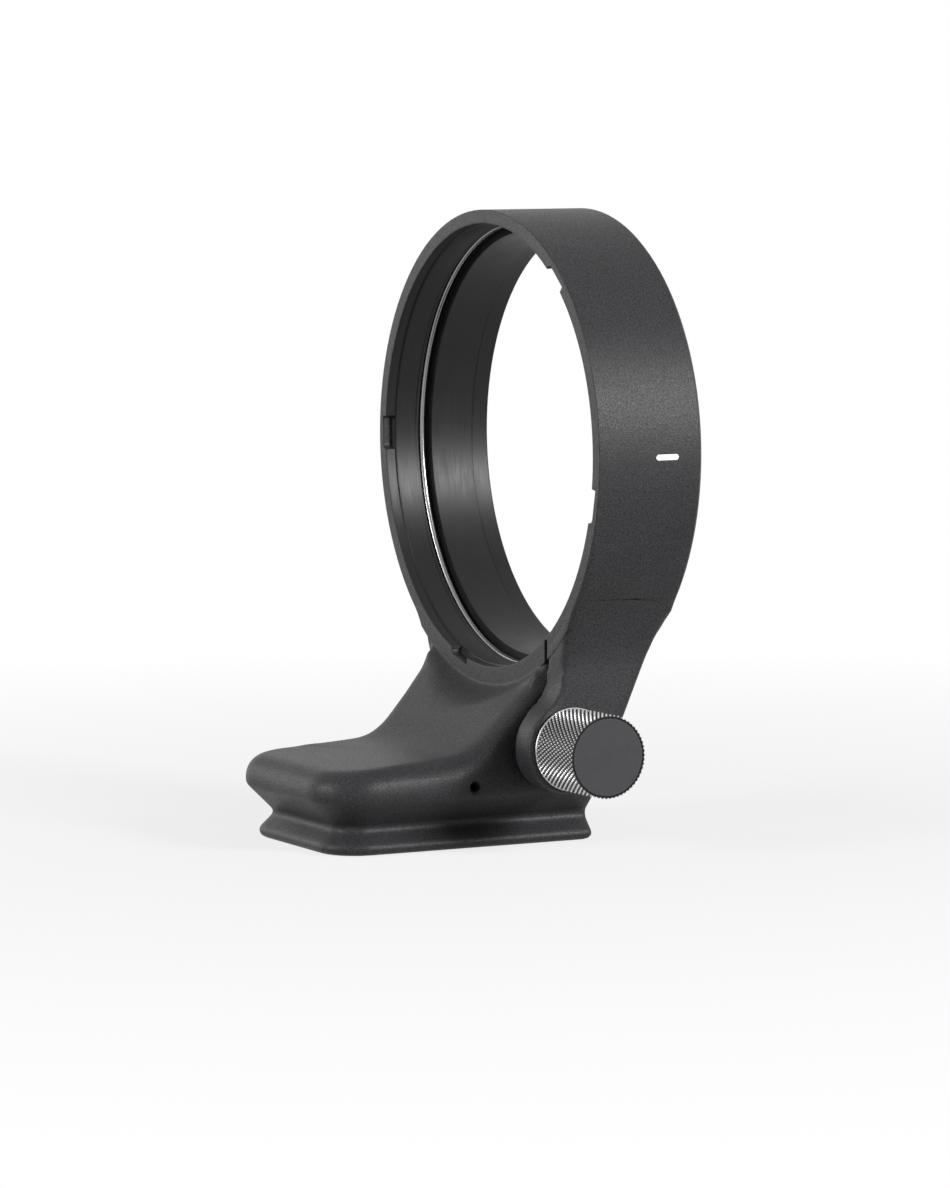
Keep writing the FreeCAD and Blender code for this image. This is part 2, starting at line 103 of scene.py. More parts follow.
class Graph:
    """Builds one material's node tree.

    Args:
        name: Name of the material.
    """

    def __init__(self, name: str) -> None:
        self.material = bpy.data.materials.new(name)
        self.material.use_nodes = True
        self.tree = self.material.node_tree
        self.tree.nodes.clear()
        self.output = self.add("ShaderNodeOutputMaterial")
        self.position = self.add("ShaderNodeTexCoord").outputs["Object"]

    def add(self, kind: str, **settings: object) -> bpy.types.Node:
        """Adds a node.

        Args:
            kind: The node's class name.
            settings: Properties of the node to set.

        Returns:
            The new node.
        """
        node = self.tree.nodes.new(kind)
        for key, value in settings.items():
            setattr(node, key, value)
        return node

    def link(self, source: bpy.types.NodeSocket, target: bpy.types.NodeSocket) -> None:
        """Joins two sockets.

        Args:
            source: The output socket.
            target: The input socket.
        """
        self.tree.links.new(source, target)

    def feed(self, node: bpy.types.Node, socket: str | int, value: object) -> None:
        """Gives an input a value, or links it when the value is a socket.

        Args:
            node: The node that has the input.
            socket: The input's name or place.
            value: A constant or an output socket.
        """
        if isinstance(value, bpy.types.NodeSocket):
            self.link(value, node.inputs[socket])
        else:
            node.inputs[socket].default_value = value

    def math(self, operation: str, a: object, b: object = 0.0, clamp: bool = False) -> bpy.types.NodeSocket:
        """Adds a math node.

        Args:
            operation: Name of the operation.
            a: First value or socket.
            b: Second value or socket.
            clamp: Whether the result is held between 0 and 1.

        Returns:
            The result's socket.
        """
        node = self.add("ShaderNodeMath", operation=operation, use_clamp=clamp)
        self.feed(node, 0, a)
        self.feed(node, 1, b)
        return node.outputs[0]

    def noise(self, size: float, detail: float = 2.0, stretch: Point = (1.0, 1.0, 1.0)) -> bpy.types.NodeSocket:
        """Adds a noise texture in the part's own coordinates.

        Args:
            size: Size of the grain, in metres.
            detail: Octaves of detail.
            stretch: How much finer the grain is along each axis.

        Returns:
            The noise's value socket, about 0.5 on average.
        """
        scale = self.add("ShaderNodeVectorMath", operation="MULTIPLY")
        self.link(self.position, scale.inputs[0])
        scale.inputs[1].default_value = stretch
        node = self.add("ShaderNodeTexNoise")
        self.link(scale.outputs[0], node.inputs["Vector"])
        node.inputs["Scale"].default_value = 1.0 / size
        node.inputs["Detail"].default_value = detail
        return node.outputs["Fac"]

    def remap(self, value: bpy.types.NodeSocket, low: float, high: float, out_low: float,
              out_high: float) -> bpy.types.NodeSocket:
        """Maps a range of values onto another, held at both ends.

        Args:
            value: The socket to map.
            low: Start of the range.
            high: End of the range.
            out_low: What the start becomes.
            out_high: What the end becomes.

        Returns:
            The mapped value's socket.
        """
        node = self.add("ShaderNodeMapRange")
        for key, number in zip(("From Min", "From Max", "To Min", "To Max"), (low, high, out_low, out_high)):
            node.inputs[key].default_value = number
        self.link(value, node.inputs["Value"])
        return node.outputs["Result"]

    def mix_colour(self, factor: object, a: object, b: object) -> bpy.types.NodeSocket:
        """Mixes two colours.

        Args:
            factor: Share of the second colour.
            a: First colour or socket.
            b: Second colour or socket.

        Returns:
            The mixed colour's socket.
        """
        node = self.add("ShaderNodeMix", data_type="RGBA")
        self.feed(node, 0, factor)
        self.feed(node, 6, a)
        self.feed(node, 7, b)
        return node.outputs[2]

    def mix_value(self, factor: object, a: object, b: object) -> bpy.types.NodeSocket:
        """Mixes two numbers.

        Args:
            factor: Share of the second number.
            a: First number or socket.
            b: Second number or socket.

        Returns:
            The mixed number's socket.
        """
        node = self.add("ShaderNodeMix", data_type="FLOAT")
        self.feed(node, 0, factor)
        self.feed(node, 2, a)
        self.feed(node, 3, b)
        return node.outputs[0]

    def radius(self) -> bpy.types.NodeSocket:
        """Distance from the lens axis.

        Returns:
            The distance's socket, in metres.
        """
        parts = self.add("ShaderNodeSeparateXYZ")
        self.link(self.position, parts.inputs[0])
        square = self.math("ADD", self.math("MULTIPLY", parts.outputs["X"], parts.outputs["X"]),
                           self.math("MULTIPLY", parts.outputs["Z"], parts.outputs["Z"]))
        return self.math("SQRT", square)

    def coordinate(self, axis: str) -> bpy.types.NodeSocket:
        """One coordinate of the surface point.

        Args:
            axis: X, Y or Z.

        Returns:
            The coordinate's socket, in metres.
        """
        parts = self.add("ShaderNodeSeparateXYZ")
        self.link(self.position, parts.inputs[0])
        return parts.outputs[axis]

    def bump(self, height: bpy.types.NodeSocket, depth: object, edge: float = 0.0) -> bpy.types.NodeSocket:
        """Turns a height into a surface normal.

        Args:
            height: Height from 0 to 1.
            depth: Depth in metres, a number or a socket.
            edge: Radius over which crisp edges are softened, in metres.

        Returns:
            The normal's socket.
        """
        node = self.add("ShaderNodeBump")
        node.inputs["Strength"].default_value = 1.0
        self.link(self.math("MULTIPLY", height, depth), node.inputs["Height"])
        node.inputs["Distance"].default_value = 1.0
        if edge > 0.0:
            soft = self.add("ShaderNodeBevel", samples=4)
            soft.inputs["Radius"].default_value = edge
            self.link(soft.outputs["Normal"], node.inputs["Normal"])
        return node.outputs["Normal"]

    def surface(self, constants: dict[str, object], linked: dict[str, bpy.types.NodeSocket]) -> bpy.types.Material:
        """Finishes the material with one principled shader.

        Args:
            constants: Input names and the values that hold all over the surface.
            linked: Input names and the sockets that feed them.

        Returns:
            The finished material.
        """
        shader = self.add("ShaderNodeBsdfPrincipled")
        for key, value in constants.items():
            shader.inputs[key].default_value = value
        for key, socket in linked.items():
            self.link(socket, shader.inputs[key])
        self.link(shader.outputs["BSDF"], self.output.inputs["Surface"])
        return self.material


# Finishes


def grey(value: float, tint: float = 1.08) -> tuple[float, float, float, float]:
    """A near neutral dark colour with a slight cold tint.

    Args:
        value: Linear brightness.
        tint: How much stronger blue is than red.

    Returns:
        The colour with full alpha.
    """
    return (value, value, value * tint, 1.0)


@dataclass(frozen=True)
class CrinklePaint:
    """Fine textured black paint outside, smooth turned black in the bore."""

    paint: float = 0.021
    bore: float = 0.010
    grain: float = 0.26 * MM
    fine_grain: float = 0.10 * MM
    depth: float = 0.055 * MM
    bore_radius: float = 41.15 * MM
    bore_edge: float = 0.05 * MM
    roughness: float = 0.44
    bore_roughness: float = 0.38
    specular: float = 0.18
    soft_edge: float = 0.38 * MM
    # Places and half widths of the near black lines painted as shade in the bore.
    groove_shade_lines: tuple[tuple[float, float], ...] = ((-4.35 * MM, 0.16 * MM), (7.30 * MM, 0.22 * MM))

    def groove_shade_mask(self, g: Graph) -> bpy.types.NodeSocket:
        """Painted shade: near black lines in the bore, at set places along it, where a fine groove and the step at the
        liner lie in shadow.

        Args:
            g: The graph to add to.

        Returns:
            A socket that is 1 on a painted shade line and 0 elsewhere.
        """
        along = g.coordinate("Y")
        total: object = 0.0
        for place, half in self.groove_shade_lines:
            away = g.math("ABSOLUTE", g.math("SUBTRACT", along, place))
            total = g.math("ADD", g.remap(away, half * 0.7, half, 1.0, 0.0), total, clamp=True)
        return total

    def build(self) -> bpy.types.Material:
        """Makes the material.

        Returns:
            The material.
        """
        g = Graph("crinkle_paint")
        inside = g.remap(g.radius(), self.bore_radius - self.bore_edge, self.bore_radius, 1.0, 0.0)
        coarse = g.noise(self.grain, 2.0)
        fine = g.noise(self.fine_grain, 1.0)
        grain = g.math("ADD", g.math("MULTIPLY", coarse, 0.7), g.math("MULTIPLY", fine, 0.3))
        cloud = g.noise(9.0 * MM, 2.0)
        lines = g.noise(0.16 * MM, 1.0, (0.02, 1.0, 0.02))
        speck = g.remap(grain, 0.33, 0.67, 0.25, 1.9)
        tone = g.math("MULTIPLY", speck, g.remap(cloud, 0.3, 0.7, 0.93, 1.07))
        scale = g.add("ShaderNodeVectorMath", operation="SCALE")
        scale.inputs[0].default_value = grey(self.paint)[:3]
        g.link(tone, scale.inputs["Scale"])
        bore_tone_and_shade = g.mix_colour(g.remap(lines, 0.3, 0.7, 0.0, 1.0), grey(self.bore * 0.8), grey(self.bore * 1.25))
        # Painted shade: the bore goes near black on lines where a groove and the liner step would be shaded.
        bore_tone_and_shade = g.mix_colour(self.groove_shade_mask(g), bore_tone_and_shade, grey(0.001))
        colour = g.mix_colour(inside, scale.outputs[0], bore_tone_and_shade)
        rough = g.mix_value(inside, g.remap(grain, 0.3, 0.7, self.roughness + 0.12, self.roughness - 0.10),
                            g.remap(lines, 0.3, 0.7, self.bore_roughness - 0.04, self.bore_roughness + 0.04))
        height = g.mix_value(inside, grain, g.math("MULTIPLY", lines, 0.03))
        normal = g.bump(height, self.depth, self.soft_edge)
        return g.surface({"Specular IOR Level": self.specular},
                         {"Base Color": colour, "Roughness": rough, "Normal": normal})


@dataclass(frozen=True)
class SmoothBlack:
    """Smooth black plastic or hard anodising with very fine lines around an axis."""

    name: str
    value: float
    roughness: float
    line: float = 0.12 * MM
    depth: float = 0.002 * MM
    stretch: Point = (0.02, 1.0, 0.02)
    metallic: float = 0.0
    specular: float = 0.18

    def build(self) -> bpy.types.Material:
        """Makes the material.

        Returns:
            The material.
        """
        g = Graph(self.name)
        lines = g.noise(self.line, 1.0, self.stretch)
        cloud = g.noise(5.0 * MM, 2.0)
        mixed = g.math("ADD", g.math("MULTIPLY", lines, 0.6), g.math("MULTIPLY", cloud, 0.4))
        colour = g.mix_colour(g.remap(mixed, 0.35, 0.65, 0.0, 1.0), grey(self.value * 0.82), grey(self.value * 1.2))
        rough = g.remap(mixed, 0.35, 0.65, self.roughness - 0.05, self.roughness + 0.05)
        normal = g.bump(lines, self.depth, 0.15 * MM)
        return g.surface({"Metallic": self.metallic, "Specular IOR Level": self.specular},
                         {"Base Color": colour, "Roughness": rough, "Normal": normal})


@dataclass(frozen=True)
class GrainedBlack:
    """Matte black with a fine sandblasted grain, for the knob's cap."""

    value: float = 0.034
    specular: float = 0.20
    grain: float = 0.16 * MM
    depth: float = 0.008 * MM
    roughness: float = 0.52

    def build(self) -> bpy.types.Material:
        """Makes the material.

        Returns:
            The material.
        """
        g = Graph("cap_black")
        grain = g.noise(self.grain, 2.0)
        cloud = g.noise(3.0 * MM, 2.0)
        tone = g.math("MULTIPLY", g.remap(grain, 0.35, 0.65, 0.75, 1.3), g.remap(cloud, 0.3, 0.7, 0.94, 1.06))
        scale = g.add("ShaderNodeVectorMath", operation="SCALE")
        scale.inputs[0].default_value = grey(self.value, 1.1)[:3]
        g.link(tone, scale.inputs["Scale"])
        rough = g.remap(grain, 0.3, 0.7, self.roughness + 0.06, self.roughness - 0.06)
        return g.surface({"Specular IOR Level": self.specular},
                         {"Base Color": scale.outputs[0], "Roughness": rough,
                          "Normal": g.bump(grain, self.depth, 0.12 * MM)})


@dataclass(frozen=True)
class KnurledMetal:
    """Knurl with bright worn tips, and grooves painted near black as painted shade between the teeth. The axis is the
    knob's own; lengths in metres.
    """

    axis_y: float = -9.15 * MM
    axis_z: float = -53.2 * MM
    groove_radius: float = 7.36 * MM
    tip_radius: float = 7.56 * MM
    tip: float = 0.72
    # Colour of the grooves: painted shade, not the metal's own colour.
    painted_groove_shade: float = 0.012
    roughness: float = 0.26

    def build(self) -> bpy.types.Material:
        """Makes the material.

        Returns:
            The material.
        """
        g = Graph("black_anodised")
        y = g.math("SUBTRACT", g.coordinate("Y"), self.axis_y)
        z = g.math("SUBTRACT", g.coordinate("Z"), self.axis_z)
        reach = g.math("SQRT", g.math("ADD", g.math("MULTIPLY", y, y), g.math("MULTIPLY", z, z)))
        # Bright bare metal towards the tips is wear; the near black towards the grooves is painted shade between the
        # teeth.
        tip_wear_and_groove_shade = g.remap(reach, self.groove_radius, self.tip_radius, 0.0, 1.0)
        grain = g.noise(0.12 * MM, 2.0)
        tip_wear_and_groove_shade = g.math("MULTIPLY", tip_wear_and_groove_shade, g.remap(grain, 0.3, 0.7, 0.85, 1.0))
        colour = g.mix_colour(tip_wear_and_groove_shade, grey(self.painted_groove_shade), grey(self.tip, 1.02))
        rough = g.remap(grain, 0.3, 0.7, self.roughness - 0.04, self.roughness + 0.08)
        return g.surface({"Specular IOR Level": 0.3}, {"Base Color": colour, "Metallic": tip_wear_and_groove_shade, "Roughness": rough,
                                                       "Normal": g.bump(grain, 0.003 * MM)})


@dataclass(frozen=True)
class Metal:
    """Bare or blackened metal with fine turning lines."""

    name: str
    colour: tuple[float, float, float, float]
    roughness: float
    stretch: Point = (1.0, 0.03, 0.03)
    line: float = 0.10 * MM
    depth: float = 0.002 * MM
    edge: float = 0.06 * MM
    metallic: float = 1.0

    def build(self) -> bpy.types.Material:
        """Makes the material.

        Returns:
            The material.
        """
        g = Graph(self.name)
        lines = g.noise(self.line, 2.0, self.stretch)
        cloud = g.noise(2.0 * MM, 2.0)
        low = tuple(c * 0.86 for c in self.colour[:3]) + (1.0,)
        colour = g.mix_colour(g.remap(lines, 0.35, 0.65, 0.0, 1.0), low, self.colour)
        rough = g.math("MULTIPLY", g.remap(lines, 0.3, 0.7, self.roughness * 0.85, self.roughness * 1.2),
                       g.remap(cloud, 0.3, 0.7, 0.92, 1.08))
        normal = g.bump(lines, self.depth, self.edge)
        return g.surface({"Metallic": self.metallic}, {"Base Color": colour, "Roughness": rough, "Normal": normal})


@dataclass(frozen=True)
class WhiteFill:
    """Paint filled into an engraved mark."""

    colour: tuple[float, float, float, float] = (0.80, 0.80, 0.78, 1.0)

    def build(self) -> bpy.types.Material:
        """Makes the material.

        Returns:
            The material.
        """
        g = Graph("white_fill")
        grain = g.noise(0.10 * MM, 2.0)
        low = tuple(c * 0.9 for c in self.colour[:3]) + (1.0,)
        colour = g.mix_colour(g.remap(grain, 0.35, 0.65, 0.0, 1.0), low, self.colour)
        return g.surface({"Roughness": 0.42}, {"Base Color": colour, "Normal": g.bump(grain, 0.004 * MM)})


FINISHES: dict[str, Callable[[], bpy.types.Material]] = {
    "crinkle_paint": CrinklePaint().build,
    "liner_plastic": SmoothBlack("liner_plastic", 0.010, 0.40).build,
    "spring_steel": Metal("spring_steel", (0.30, 0.30, 0.31, 1.0), 0.26, (0.03, 1.0, 0.03)).build,
    "white_fill": WhiteFill().build,
    "brass_bush": Metal("brass_bush", (0.62, 0.46, 0.22, 1.0), 0.30).build,
    "steel": Metal("steel", (0.55, 0.55, 0.56, 1.0), 0.30).build,
    "blackened_steel": Metal("blackened_steel", grey(0.035), 0.38).build,
    "white_plastic": SmoothBlack("white_plastic", 0.70, 0.45, stretch=(1.0, 1.0, 1.0), specular=0.5).build,
    "black_anodised": KnurledMetal().build,
    "cap_black": GrainedBlack().build,
}


class Palette:
    """Makes each finish once and hands it out by slot name."""

    def __init__(self) -> None:
        self._made: dict[str, bpy.types.Material] = {}

    def get(self, slot: str) -> bpy.types.Material:
        """The material of a slot.

        Args:
            slot: A material slot of the record.

        Returns:
            The material.
        """
        if slot not in self._made:
            self._made[slot] = FINISHES[slot]()
        return self._made[slot]


# Mesh helpers


def link_mesh(name: str, mesh: bpy.types.Mesh) -> bpy.types.Object:
    """Puts a mesh in the scene, unturned and at the origin.

    Args:
        name: Name of the object.
        mesh: The mesh, with its place in its vertices.

    Returns:
        The new object.
    """
    obj = bpy.data.objects.new(name, mesh)
    bpy.context.scene.collection.objects.link(obj)
    return obj


def mesh_of(bm: bmesh.types.BMesh, name: str) -> bpy.types.Mesh:
    """Takes the mesh out of an editing mesh, and frees that.

    Args:
        bm: The editing mesh.
        name: Name of the mesh.

    Returns:
        The mesh.
    """
    mesh = bpy.data.meshes.new(name)
    bm.to_mesh(mesh)
    bm.free()
    return mesh


def loft(bm: bmesh.types.BMesh, rings: Sequence[Sequence[bmesh.types.BMVert]], capped: bool = True) -> None:
    """Spans faces between rings of vertices, and turns all faces outward.

    Args:
        bm: The editing mesh.
        rings: Rings with the same number of vertices.
        capped: Whether the two ends are closed with a face each.
    """
    count = len(rings[0])
    for a, b in zip(rings, rings[1:]):
        for i in range(count):
            j = (i + 1) % count
            bm.faces.new((a[i], a[j], b[j], b[i]))
    if capped:
        bm.faces.new(rings[0])
        bm.faces.new(rings[-1])
        bmesh.ops.recalc_face_normals(bm, faces=bm.faces)


def smooth_below(mesh: bpy.types.Mesh, degrees: float) -> None:
    """Shades a mesh smooth but for edges sharper than an angle.

    Args:
        mesh: The mesh.
        degrees: The angle between faces above which an edge stays sharp.
    """
    bm = bmesh.new()
    bm.from_mesh(mesh)
    limit = math.radians(degrees)
    for face in bm.faces:
        face.smooth = True
    for edge in bm.edges:
        edge.smooth = len(edge.link_faces) == 2 and edge.calc_face_angle(0.0) < limit
    bm.to_mesh(mesh)
    bm.free()


def turned_mesh(name: str, profile: Profile, axis: Axis, centre: tuple[float, float], steps: int,
                sharp: float = 30.0) -> bpy.types.Mesh:
    """Turns a closed profile about an axis.

    Args:
        name: Name of the mesh.
        profile: Corners as (place along the axis, radius), in metres, as one closed loop.
        axis: The axis to turn about.
        centre: The axis's place across it, in metres.
        steps: Number of segments around.
        sharp: Angle in degrees above which an edge stays sharp.

    Returns:
        The mesh, with normals outward.
    """
    bm = bmesh.new()
    rings = []
    for k in range(steps):
        turn = 2.0 * math.pi * k / steps
        c, s = math.cos(turn), math.sin(turn)
        ring = []
        for along, r in profile:
            first, second = centre[0] + r * c, centre[1] + r * s
            places = {Axis.X: (along, first, second), Axis.Y: (first, along, second), Axis.Z: (first, second, along)}
            ring.append(bm.verts.new(places[axis]))
        rings.append(ring)
    loft(bm, rings + rings[:1], capped=False)
    bmesh.ops.remove_doubles(bm, verts=bm.verts, dist=1e-9)
    bmesh.ops.recalc_face_normals(bm, faces=bm.faces)
    mesh = mesh_of(bm, name)
    smooth_below(mesh, sharp)
    return mesh


def helix_mesh(name: str, axis: Axis, centre: tuple[float, float], start: float, end: float, pitch: float,
               section: Profile, steps_per_turn: int = 36) -> bpy.types.Mesh:
    """Sweeps a closed section along a helix, for a thread.

    Args:
        name: Name of the mesh.
        axis: The helix's axis.
        centre: The axis's place across it, in metres.
        start: Where the helix starts along its axis.
        end: Where it ends.
        pitch: Advance for each turn.
        section: Corners of the section as (along, radius), in metres.
        steps_per_turn: Number of segments for each turn.

    Returns:
        The mesh, closed at both ends.
    """
    bm = bmesh.new()
    turns = (end - start) / pitch
    total = max(2, int(turns * steps_per_turn))
    rings = []
    for k in range(total + 1):
        share = k / total
        turn = 2.0 * math.pi * turns * share
        c, s = math.cos(turn), math.sin(turn)
        ring = []
        for offset, r in section:
            along = start + (end - start) * share + offset
            across = (centre[0] + r * c, centre[1] + r * s)
            ring.append(bm.verts.new((along, *across) if axis is Axis.X else (*across, along)))
        rings.append(ring)
    loft(bm, rings)
    mesh = mesh_of(bm, name)
    smooth_below(mesh, ROUND_SHARP)
    return mesh


def prism_mesh(name: str, outline: Profile, start: float, end: float, axis: Axis) -> bpy.types.Mesh:
    """Pulls a closed outline along an axis.

    Args:
        name: Name of the mesh.
        outline: Corners of the outline, as (X, Z) for a pull along Y and (Y, Z) for one along X.
        start: Where the pull starts.
        end: Where it ends.
        axis: The axis to pull along, X or Y.

    Returns:
        The closed mesh.
    """
    bm = bmesh.new()
    ends = []
    for along in (start, end):
        ends.append([bm.verts.new((along, a, b) if axis is Axis.X else (a, along, b)) for a, b in outline])
    count = len(outline)
    for i in range(count):
        j = (i + 1) % count
        bm.faces.new((ends[0][i], ends[0][j], ends[1][j], ends[1][i]))
    for loop in ends:
        bm.faces.new(loop)
    bmesh.ops.triangulate(bm, faces=[f for f in bm.faces if len(f.verts) > 4])
    bmesh.ops.recalc_face_normals(bm, faces=bm.faces)
    return mesh_of(bm, name)


def finished(obj: bpy.types.Object, name: str) -> bpy.types.Mesh:
    """Takes the plain mesh of an object with its modifiers done, and removes the object.

    Args:
        obj: The object.
        name: Name of the mesh.

    Returns:
        The mesh.
    """
    deps = bpy.context.evaluated_depsgraph_get()
    mesh = bpy.data.meshes.new_from_object(obj.evaluated_get(deps), depsgraph=deps)
    mesh.name = name
    bpy.data.objects.remove(obj)
    return mesh


def carved(mesh: bpy.types.Mesh, tool: bpy.types.Mesh, cut: Cut) -> bpy.types.Mesh:
    """Cuts a mesh with another, or keeps what they share.

    Args:
        mesh: The mesh to cut.
        tool: The mesh that cuts it.
        cut: What is kept.

    Returns:
        The result.
    """
    work, cutter = link_mesh("work", mesh), link_mesh("cutter", tool)
    step = work.modifiers.new("carve", "BOOLEAN")
    step.operation, step.solver, step.object = cut.value, "EXACT", cutter
    result = finished(work, mesh.name)
    bpy.data.objects.remove(cutter)
    return result


def joined(name: str, meshes: Iterable[bpy.types.Mesh]) -> bpy.types.Mesh:
    """Puts several meshes into one.

    Args:
        name: Name of the result.
        meshes: The meshes.

    Returns:
        The joined mesh.
    """
    bm = bmesh.new()
    for mesh in meshes:
        bm.from_mesh(mesh)
    return mesh_of(bm, name)


def relaxed(mesh: bpy.types.Mesh, passes: np.ndarray, share: float = 0.6) -> None:
    """Rounds a dense mesh by moving each vertex towards the mean of its neighbours.

    Args:
        mesh: The mesh.
        passes: How many times each vertex moves.
        share: How far it moves each time.
    """
    count = len(mesh.vertices)
    place = np.empty(count * 3)
    mesh.vertices.foreach_get("co", place)
    place = place.reshape(-1, 3)
    ends = np.empty(len(mesh.edges) * 2, dtype=np.int32)
    mesh.edges.foreach_get("vertices", ends)
    one, two = ends[0::2], ends[1::2]
    a, b = np.concatenate((one, two)), np.concatenate((two, one))
    near = np.maximum(np.bincount(a, minlength=count), 1)
    for k in range(int(passes.max())):
        mean = np.stack([np.bincount(a, weights=place[b, i], minlength=count) / near for i in range(3)], axis=1)
        moving = passes > k
        place[moving] += share * (mean - place)[moving]
    mesh.vertices.foreach_set("co", place.ravel())
    mesh.update()


def rounded_line(corners: Sequence[Point], steps: int = 12) -> list[tuple[float, float]]:
    """A line through corners with an arc at each inner one.

    Args:
        corners: Each corner's two coordinates and the radius of its arc.
        steps: Points on each arc.

    Returns:
        The line's points.
    """
    line = [corners[0][:2]]
    for before, here, after in zip(corners, corners[1:], corners[2:]):
        at = Vector(here[:2])
        back, on = (Vector(before[:2]) - at).normalized(), (Vector(after[:2]) - at).normalized()
        half = back.angle(on) / 2.0
        run = here[2] / math.tan(half)
        centre = at + (back + on).normalized() * (here[2] / math.sin(half))
        first, last = at + back * run - centre, at + on * run - centre
        for k in range(steps + 1):
            spoke = first.lerp(last, k / steps).normalized() * here[2]
            line.append(tuple(centre + spoke))
    line.append(corners[-1][:2])
    return line


@dataclass
class SubAssembly:
    """A group of pieces on one body.

    Args:
        palette: Where finishes come from.
        body: The body that the pieces ride on.
    """

    palette: Palette
    body: Body

    def dress(self, node: str, slot: str) -> bpy.types.Object:
        """Gives a solid part its finish.

        Args:
            node: Name of the part.
            slot: The finish's slot.

        Returns:
            The part's object.
        """
        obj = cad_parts[node]
        obj.data.materials.clear()
        obj.data.materials.append(self.palette.get(slot))
        return obj

    def add(self, name: str, mesh: bpy.types.Mesh, slot: str, replaces: Iterable[str] = ()) -> bpy.types.Object:
        """Adds a piece of its own.

        Args:
            name: Name of the piece.
            mesh: Its mesh.
            slot: The finish's slot.
            replaces: The solid parts that it stands for.

        Returns:
            The new object.
        """
        obj = link_mesh(name, mesh)
        if not mesh.materials:
            mesh.materials.append(self.palette.get(slot))
        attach(obj, self.body.value)
        if replaces:
            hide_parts(*replaces)
        return obj

    def build(self) -> None:
        """Makes every piece of the group."""
        raise NotImplementedError


@dataclass(frozen=True)
class CastShape:
    """Sizes of the casting's rounded form, in millimetres and degrees.

    The ring stays crisp out to ring_cut, and to face_r near its two faces. The rounded skin starts inside
    the ring at sunk_r, or outside it at clear_r behind clear_from. The sweep is the saddle's side outline
    from the foot's top to the web: corners as (Y, Z, radius of the arc).
    """

    grid: float = 0.45
    edge_passes: int = 6
    saddle_passes: int = 22
    front: float = -10.6
    rear: float = 10.6
    web_front: float = -10.28
    flush: float = 0.04
    ahead: float = 2.0
    behind: float = 3.0
    face_r: float = 44.45
    front_band: float = 3.1
    rear_band: float = 0.6
    ring_cut: float = 43.6
    sunk_r: float = 42.4
    clear_r: float = 43.45
    clear_from: float = 2.0
    slit_x: float = 23.3
    side: float = 48.0
    reach: float = 90.0
    web_from: float = -131.6
    arm_to: float = -20.5
    half: float = 21.35
    half_ring: float = 22.0
    widen: tuple[float, float] = (-17.0, -14.0)
    sweep: tuple[Point, ...] = ((-52.0, -56.45, 0.0), (-24.4, -54.9, 13.0), (-12.5, -42.1, 5.0), (-12.1, -33.0, 0.0))
    sweep_from: float = -40.0
    sweep_to: float = -9.6
    scallop_slope: float = 0.47
    floor: float = -58.3
    floor_ring: float = -50.3
    round_toe: float = 4.2
    round_ring: float = 1.3
    round_span: tuple[float, float] = (-26.0, -14.0)
    knob_y: float = -9.15
    knob_z: float = -53.2
    lobe_r: float = 8.4
    arm_inner: float = 23.8
    arm_face: float = 30.0
    arm_cut: tuple[float, float] = (-49.0, -39.3)
    arm_lap: tuple[float, float] = (0.5, 0.6)
    arm_back: float = -7.5
    bend_r: float = 7.5


